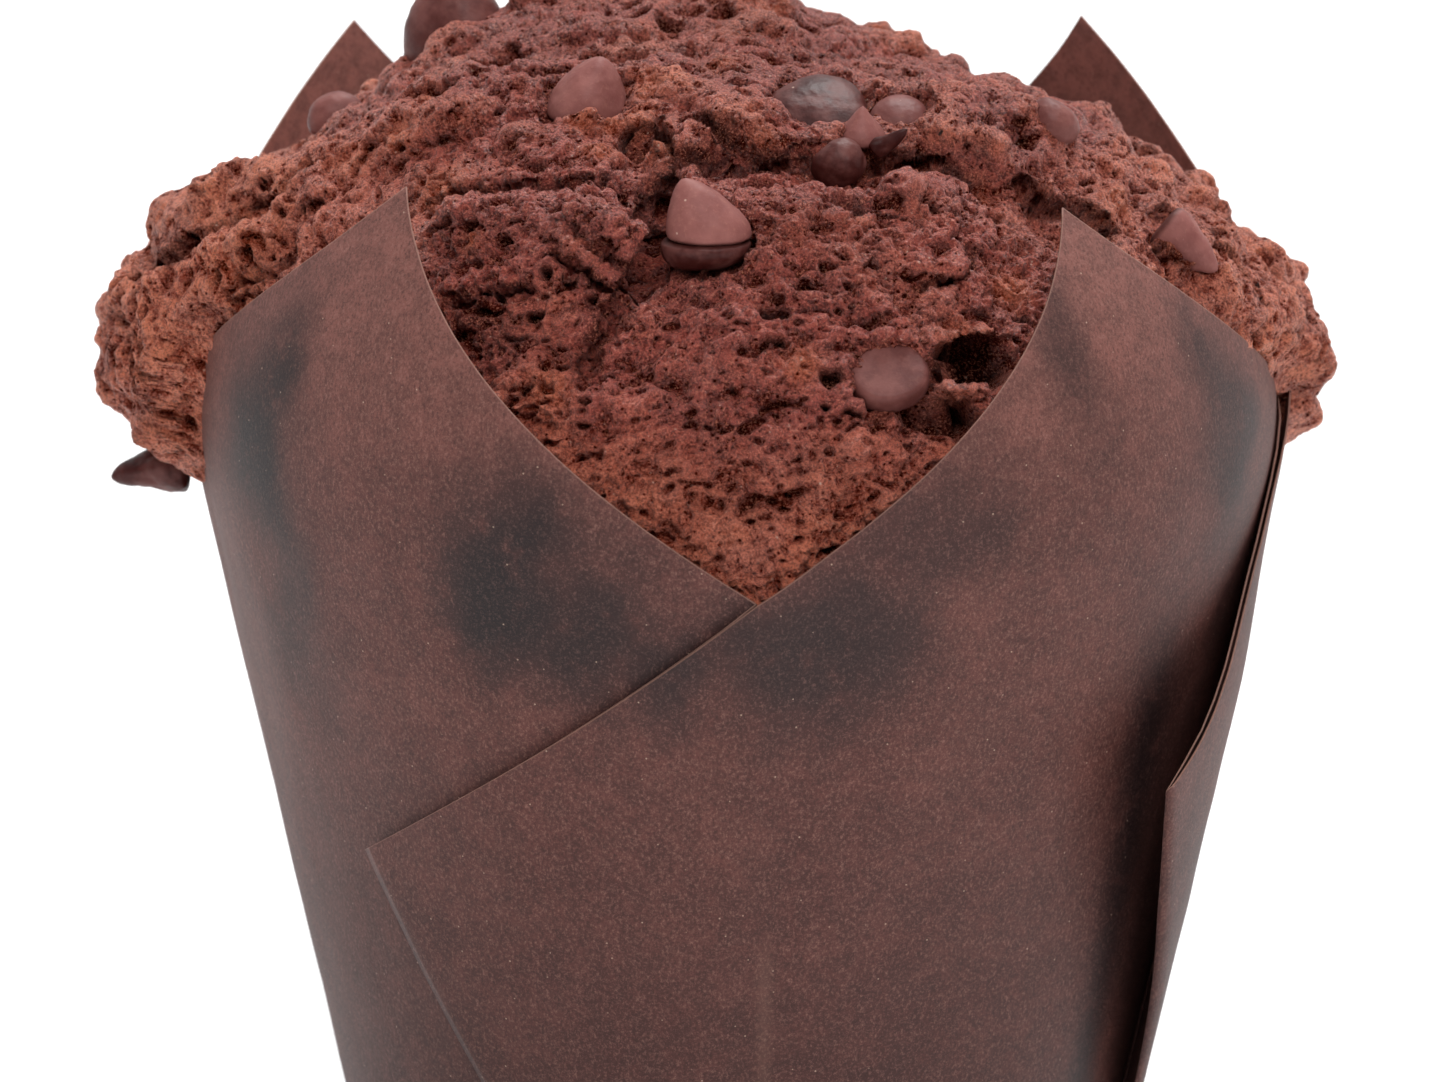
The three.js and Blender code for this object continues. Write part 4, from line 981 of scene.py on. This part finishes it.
def make_crown_block(name, start, corner, size, cells):
    """One block of a quarter's unit square, from a corner and with a size, as a closed wedge of the
    crown. Two spare cells all round make its normals match its neighbour's."""
    first, second = (low + size * np.arange(-2, cells + 3) / cells for low in corner)
    shaped, lump = crown_shaped(square_quarter(first, second, start))
    normals = slopes_cross(shaped)
    shaped, lump = shaped[1:-1, 1:-1], lump[1:-1, 1:-1]
    height, depth = crumb_texture(shaped, normals)
    holes = nearby(shaped, hole_strokes)
    hollow = smooth_step(1.25, 0.6, ellipsoids(bent(shaped, 1.2, 0.35, 89), holes))
    points = shaped + normals * (height - strongest(hollow * holes[:, 8]))[..., None]
    points = held_in_paper(points, 0.2, waved=True)
    skin = slopes_cross(points)
    # painted shade: the clefts and holes are darkened in colour too, and with a ring round each chip's seat and
    # the damp patches they make one map of damp and shade
    cleft = 0
    for half, _, line in cleft_lines:
        if len(nearby(points, line)):
            cleft = np.maximum(cleft, smooth_step(half * 1.7, half * 0.5, line_distance(points, line)))
    from_amber_and_light = np.linalg.norm(points[..., None, :] - amber_and_light_spots[:, :3], axis=-1) / amber_and_light_spots[:, 3]
    seated = np.linalg.norm(points[..., None, :] - SEATS[:, :3], axis=-1) / SEATS[:, 3]
    # a dark ring round each chip's seat: painted shade where the chip meets the crumb, with a little melted
    # chocolate
    seat = smooth_step(1.22, 0.98, seated.min(-1)) * 0.55
    damp_and_shade = np.linalg.norm(points[..., None, :] - damp_and_shade_spots[:, :3], axis=-1) / damp_and_shade_spots[:, 3]
    damp_and_shade = (np.exp(-damp_and_shade ** 2) * damp_and_shade_spots[:, 4]).max(-1)
    moist_and_shade = np.maximum.reduce([cleft * 0.8, strongest(hollow), seat, damp_and_shade])
    painted = {
        "depth": depth,
        "crust": browned_crust(points, torn_face(points), lump),
        "amber_and_light": np.exp(-from_amber_and_light ** 2).max(-1) * (1 - moist_and_shade),
        "moist_and_shade": moist_and_shade,
    }
    points = points[1:-1, 1:-1]
    side = cells + 1
    index = np.arange(side * side).reshape(side, side)
    rim = np.concatenate([index[:, 0], index[-1, 1:], index[-2::-1, -1], index[0, -2:0:-1]])
    closing = np.stack([np.full(len(rim), side * side), np.roll(rim, -1), rim], -1)
    quads = grid_faces(side, side, flip=True)
    piece = new_object(name, np.concatenate([points.reshape(-1, 3), [FAN_POINT]]), [quads, closing],
                       np.repeat([True, False], [len(quads), len(closing)]))
    vertex_normals = np.concatenate([skin.reshape(-1, 3), [[0, 0, -1]]])
    piece.data.normals_split_custom_set_from_vertices(vertex_normals)
    for label, values in painted.items():
        paint_attribute(piece, label, np.append(values[1:-1, 1:-1].ravel(), 0))
    place_in_frame(piece, crumb_material, "crumb", "muffin")


crumb_material = crumb_finish()
for side_name, start, cells in (
        ("front", -135, FRONT_CELLS), ("right", -45, SIDE_CELLS), ("left", 135, SIDE_CELLS)):
    for step in range(4):
        block_corner = (step // 2 / 2, step % 2 / 2)
        make_crown_block(f"crumb_{side_name}_{step + 1}", start, block_corner, 0.5, cells)
make_crown_block("crumb_back", 45, (0, 0), 1, BACK_CELLS)


def make_crumb_body():
    """The crumb inside the paper: rings a gap inside the wall, up to where the crown closes over."""
    heights = np.concatenate([[CRUMB_BOTTOM], np.linspace(2.4, CONE_TOP, 50)])
    azimuth = np.linspace(-180, 180, 241)[:-1]
    radius = BASE_RADIUS + WALL_LEAN * heights - 1.0
    radius[0] -= 0.8
    rings = around_axis(azimuth[None, :], radius[:, None], heights[:, None])
    count = len(azimuth)
    here = np.arange(count)
    beside = (here + 1) % count
    last = rings.shape[0] * count
    top = last - count
    below = np.stack([np.full(count, last), beside, here], -1)
    above = np.stack([np.full(count, last + 1), top + here, top + beside], -1)
    points = np.concatenate([rings.reshape(-1, 3), [[0, 0, CRUMB_BOTTOM], [0, 0, CONE_TOP]]])
    wall = grid_faces(len(heights), count, 0, True)
    return new_object("crumb_in_the_cup", points, [wall, below, above])


crumb_body = make_crumb_body()
place_in_frame(crumb_body, crumb_material, "crumb", "muffin")

# ---- The chocolate chips -----------------------------------------------------------------------
# Drops of dark chocolate stirred into the batter: flat below, drawn to a point where the nozzle left.
# The oven dulled them to a greyish bloom, cracked or slumped some, and the crumb grips them all round.
# outlines from the middle of the flat back to the point, as shares of the half width and the height
DROP = np.array([
    [0, 0], [0.8, 0], [0.97, 0.07], [1, 0.17], [0.95, 0.3], [0.82, 0.44], [0.64, 0.58], [0.46, 0.71],
    [0.3, 0.83], [0.16, 0.93], [0, 1],
])
CONE = np.array([
    [0, 0], [0.84, 0], [0.98, 0.06], [1, 0.15], [0.96, 0.3], [0.86, 0.46], [0.71, 0.62], [0.53, 0.77],
    [0.34, 0.89], [0.17, 0.965], [0, 1],
])
DOME = np.array([
    [0, 0], [0.82, 0], [0.98, 0.08], [1, 0.2], [0.97, 0.38], [0.89, 0.57], [0.74, 0.76], [0.52, 0.9],
    [0.27, 0.98], [0, 1],
])
COIN = np.array([
    [0, 0], [0.8, 0], [0.96, 0.1], [1, 0.3], [1, 0.62], [0.985, 0.8], [0.95, 0.91], [0.88, 0.975],
    [0.75, 1], [0, 1],
])
# name, middle of the back, the way the point faces, half widths, height, outline, lean, wrinkles, wet: how dark
# its wet skin is painted, partly painted shade on the chips that face down or lie under the crumb
CHIPS = [
    ("chip_ridge", (-10.0, -9.6, 84.0), (0, -0.05, 1), (2.8, 2.7), 4.3, CONE, (0.9, 0, 0), 0.14, 0.0),
    ("chip_centre_upper", (-1.8, -24.3, 78.9), (0, 0, 1), (2.75, 2.7), 4.1, CONE, (-1.5, 0, 0), 0.1, 0.0),
    ("chip_centre_lower", (-2.0, -24.4, 78.98), (0, 0, -1), (2.9, 2.9), 2.1, DOME, (-0.5, 0, 0), 0.16, 0.95),
    ("chip_front_disc", (9.7, -29.4, 70.4), (0.05, -0.64, 0.77), (2.6, 2.55), 1.9, COIN, (0, 0, 0), 0.015, 0.6),
    ("chip_shoulder", (28.5, -11.0, 77.0), (0.78, -0.11, -0.62), (1.9, 1.5), 4.9, CONE, (0, 0, 0), 0.16, 0.0),
    ("chip_back_left_top", (-19.1, 9.3, 83.9), (-0.1, 0, 1), (3.8, 3.7), 6.2, DOME, (0, 0, 0), 0.15, 0.7),
    ("chip_back_left_low", (-27.6, 7.0, 80.1), (-0.3, 0, 0.95), (2.1, 1.9), 2.5, DOME, (0, 0, 0), 0.12, 0.3),
    ("chip_under_left", (-38.2, 3.2, 56.6), (-1, 0, 0.03), (1.7, 2.2), 5.5, CONE, (0, 0, -0.8), 0.3, 0.9),
    ("chip_melted", (5.6, -10.2, 84.4), (0.05, -0.5, 0.87), (3.5, 3.4), 1.4, DOME, (0, 0, 0), 0.16, 1.0),
    ("chip_smooth_disc", (11.0, -10.8, 84.0), (0.15, -0.4, 0.9), (2.1, 2.0), 1.5, DOME, (0, 0, 0), 0.14, 0.35),
    ("chip_small_cone", (8.3, -14.5, 83.1), (0, 0, 1), (1.55, 1.5), 2.7, DROP, (0.1, 0, 0), 0.08, 0.0),
    ("chip_dark_round", (7.0, -16.7, 81.8), (-0.2, -0.6, 0.8), (1.8, 1.6), 2.4, DOME, (0, 0, 0), 0.18, 0.9),
    ("chip_right_slab", (21.0, -8.6, 83.0), (0.5, -0.35, 0.8), (2.0, 1.6), 2.1, DOME, (0, 0, 0), 0.15, 0.4),
]


CHOCOLATE_DARK = srgb(118, 68, 64)
CHOCOLATE_PALE = srgb(140, 88, 82)
CHOCOLATE_SCUFF = srgb(164, 112, 98)
CHOCOLATE_WET_AND_SHADE = srgb(52, 13, 10)
CHOCOLATE_RIM_SHADE = srgb(44, 12, 8)
CHOCOLATE_SPECK = srgb(206, 176, 160)


def chocolate_finish():
    """Dark baking chocolate dulled by the oven: a soft broad sheen, a faint bloom, a few scuffs, and a
    darker red where its skin is still wet, which on the chips that face down or lie under the crumb is painted
    shade, and painted shade round each chip's foot where it meets the crumb."""
    chocolate = Finish("dulled_chocolate", Specular_IOR_Level=0.17)
    bloom = chocolate.noise(2.6, detail=4, roughness=0.6)
    scuff = chocolate.noise(0.35, detail=3, roughness=0.7)
    speck = chocolate.cells(1.5)
    wet_and_shade = chocolate.attribute("wet_and_shade")
    colour = chocolate.blend(bloom.between(0.3, 0.7), CHOCOLATE_DARK, CHOCOLATE_PALE)
    colour = chocolate.blend(scuff.between(0.54, 0.7) * 0.25, colour, CHOCOLATE_SCUFF)
    # wet skin together with painted shade on the chips that face down or tuck under the crumb
    wet_and_shade_patch = wet_and_shade * (bloom.between(0.62, 0.4) * 0.3 + 0.7)
    colour = chocolate.blend(wet_and_shade_patch, colour, CHOCOLATE_WET_AND_SHADE)
    # painted shade: each chip darkened at its foot, where it meets the crumb
    colour = chocolate.blend(chocolate.attribute("rim") * 0.7, colour, CHOCOLATE_RIM_SHADE)
    colour = chocolate.blend(speck.between(0.07, 0.03) * 0.6, colour, CHOCOLATE_SPECK)
    chocolate.feed(Base_Color=colour, Roughness=bloom * 0.15 - wet_and_shade_patch * 0.12 + 0.45)
    chocolate.bump(bloom * 0.6 + scuff * 0.4, 0.08)
    return chocolate.material


def turned_drop(place, faces, half_widths, height, outline, lean, wrinkle, rows=60, count=96):
    """The points of a drop turned about its axis, with the shares of its height. It is squeezed to two
    half widths and, by the cosine of 3 turns, to three flats; its tip leans by the square of its
    height, and noise pushes its skin in and out."""
    stops = np.linspace(0, 1, len(outline))
    fine = np.linspace(0, 1, rows)
    smooth = np.stack([np.interp(fine, stops, outline[:, axis]) for axis in (0, 1)], -1)
    kernel = np.ones(5) / 5
    for axis in (0, 1):
        padded = np.pad(smooth[:, axis], 2, mode="reflect", reflect_type="odd")
        smooth[:, axis] = np.convolve(padded, kernel, "valid")
    turn = np.linspace(0, 2 * np.pi, count + 1)[:-1]
    up = unit(np.array(faces, float))
    side = unit(np.cross(up, (0.0, -1.0, 0.0)))
    other = np.cross(up, side)
    rise = smooth[1:-1, 1][:, None]
    flats = 1 - 0.1 * np.cos(3 * turn + place[0]) * np.sqrt(np.clip(rise * (1 - rise), 0, 1))
    radius = (smooth[1:-1, 0][:, None] * flats)[..., None]
    ring = half_widths[0] * np.cos(turn)[None, :, None] * side
    ring = (ring + half_widths[1] * np.sin(turn)[None, :, None] * other) * radius
    points = ring + rise[..., None] * height * up + (rise ** 2)[..., None] * np.array(lean)
    points = np.concatenate([points.reshape(-1, 3), [0 * up, height * up + lean]]) + np.array(place)
    skin = unit(points - np.array(place) - 0.35 * height * up)
    push = rough_noise(points, 2.4, 1, 397) * 0.8 + rough_noise(points, 1.1, 3, 401) * 0.45
    return points + skin * (push * wrinkle)[:, None], np.append(np.repeat(rise[:, 0], count), [0, 1])


def closed_turning(rows, count):
    """The faces of a turned shape whose last two points are its bottom and its tip."""
    here = np.arange(count)
    beside = (here + 1) % count
    top = (rows - 1) * count
    below = np.stack([np.full(count, rows * count), beside, here], -1)
    above = np.stack([np.full(count, rows * count + 1), top + here, top + beside], -1)
    return [grid_faces(rows, count, 0, True), below, above]


chocolate_material = chocolate_finish()
for name, *shape, wet_and_shade in CHIPS:
    points, rise = turned_drop(*shape)
    chip = new_object(name + "_drop", points, closed_turning(58, 96))
    # the foot of each chip, darkened as painted shade where it meets the crumb
    paint_attribute(chip, "rim", smooth_step(0.1, 0.02, rise))
    # how dark each chip is painted: wet skin, and painted shade on those facing down or under the crumb
    paint_attribute(chip, "wet_and_shade", np.full(len(points), wet_and_shade))
    place_in_frame(chip, chocolate_material, "chocolate", name)

# a glossy splinter of a chip beside the dark one
splinter_points, splinter_rise = turned_drop(
    (9.0, -15.6, 82.9), (0.85, -0.1, 0.5), (0.75, 0.55), 2.3, CONE, (0.3, 0, 0.4), 0.25, 30, 40)
splinter = new_object("chip_splinter", splinter_points, closed_turning(28, 40))
paint_attribute(splinter, "rim", 0 * splinter_rise)
paint_attribute(splinter, "wet_and_shade", np.ones(len(splinter_points)))
place_in_frame(splinter, chocolate_material, "chocolate", "chip_dark_round")

# ---- The table, the light and the camera -------------------------------------------------------
# A plain white table in a white room that is darker towards the viewer, a broad soft light overhead,
# and a camera that shows the front view, in focus on the front of the crown.
PIXELS_PER_MM = 14.35
PICTURE_WIDTH = 1440
SENSOR_WIDTH = 36.0
FOCUS_BEFORE_MIDDLE = 26.0
APERTURE = 64
FLOOR_SIZE = 3.0
VIEWER_SIDE_STRENGTH = 0.1
FAR_SIDE_STRENGTH = 0.74
FULL_STRENGTH_AT = 0.45

bpy.ops.mesh.primitive_plane_add(size=FLOOR_SIZE, location=(0, 0, 0))
floor = bpy.context.object
floor.name = "table"
floor.data.materials.append(Finish("white_table", Base_Color=(0.9, 0.9, 0.9, 1), Roughness=0.6).material)


def light_the_room():
    """A white world for the camera, which lights the muffin strongly from its back and sides and
    weakly from the front: its strength eases from one to the other as the direction turns to +Y."""
    world = bpy.data.worlds.new("white_room")
    bpy.context.scene.world = world
    world.use_nodes = True
    nodes = world.node_tree.nodes
    links = world.node_tree.links
    direction = nodes.new("ShaderNodeTexCoord")
    split = nodes.new("ShaderNodeSeparateXYZ")
    links.new(direction.outputs["Generated"], split.inputs[0])
    ramp = nodes.new("ShaderNodeMapRange")
    ramp.interpolation_type = "SMOOTHSTEP"
    for name, value in (("From Min", -1.0), ("From Max", FULL_STRENGTH_AT),
                        ("To Min", VIEWER_SIDE_STRENGTH), ("To Max", FAR_SIDE_STRENGTH)):
        ramp.inputs[name].default_value = value
    links.new(split.outputs["Y"], ramp.inputs["Value"])
    path = nodes.new("ShaderNodeLightPath")
    seen = nodes.new("ShaderNodeMath")
    seen.operation = "MAXIMUM"
    links.new(path.outputs["Is Camera Ray"], seen.inputs[0])
    links.new(ramp.outputs["Result"], seen.inputs[1])
    background = nodes["Background"]
    background.inputs["Color"].default_value = (1, 1, 1, 1)
    links.new(seen.outputs[0], background.inputs["Strength"])


light_the_room()


def add_sun(name, azimuth, elevation, spread, power):
    """A distant soft light: its direction, how wide it looks in degrees, and its strength."""
    light = bpy.data.lights.new(name, "SUN")
    light.angle = np.radians(spread)
    light.energy = power
    lamp = bpy.data.objects.new(name, light)
    bpy.context.scene.collection.objects.link(lamp)
    lamp.rotation_euler = (np.radians(90 - elevation), 0, np.radians(azimuth + 90))


add_sun("overhead_light", 70, 60, 26, 2.5)
add_sun("front_light", -80, 50, 40, 2.1)

camera_data = bpy.data.cameras.new("camera")
camera_data.sensor_width = SENSOR_WIDTH
camera_data.lens = PIXELS_PER_MM * VIEW_DISTANCE * SENSOR_WIDTH / PICTURE_WIDTH
camera_data.clip_start = 0.01
camera_data.dof.use_dof = True
camera_data.dof.focus_distance = (VIEW_DISTANCE - FOCUS_BEFORE_MIDDLE) * MM
camera_data.dof.aperture_fstop = APERTURE
camera = bpy.data.objects.new("camera", camera_data)
bpy.context.scene.collection.objects.link(camera)
camera.location = (VIEW_MIDDLE - VIEW_DISTANCE * VIEW_AHEAD) * MM
camera.rotation_euler = (np.pi / 2 - VIEW_TILT, 0, 0)
bpy.context.scene.camera = camera
bpy.context.scene.view_settings.view_transform = "Standard"
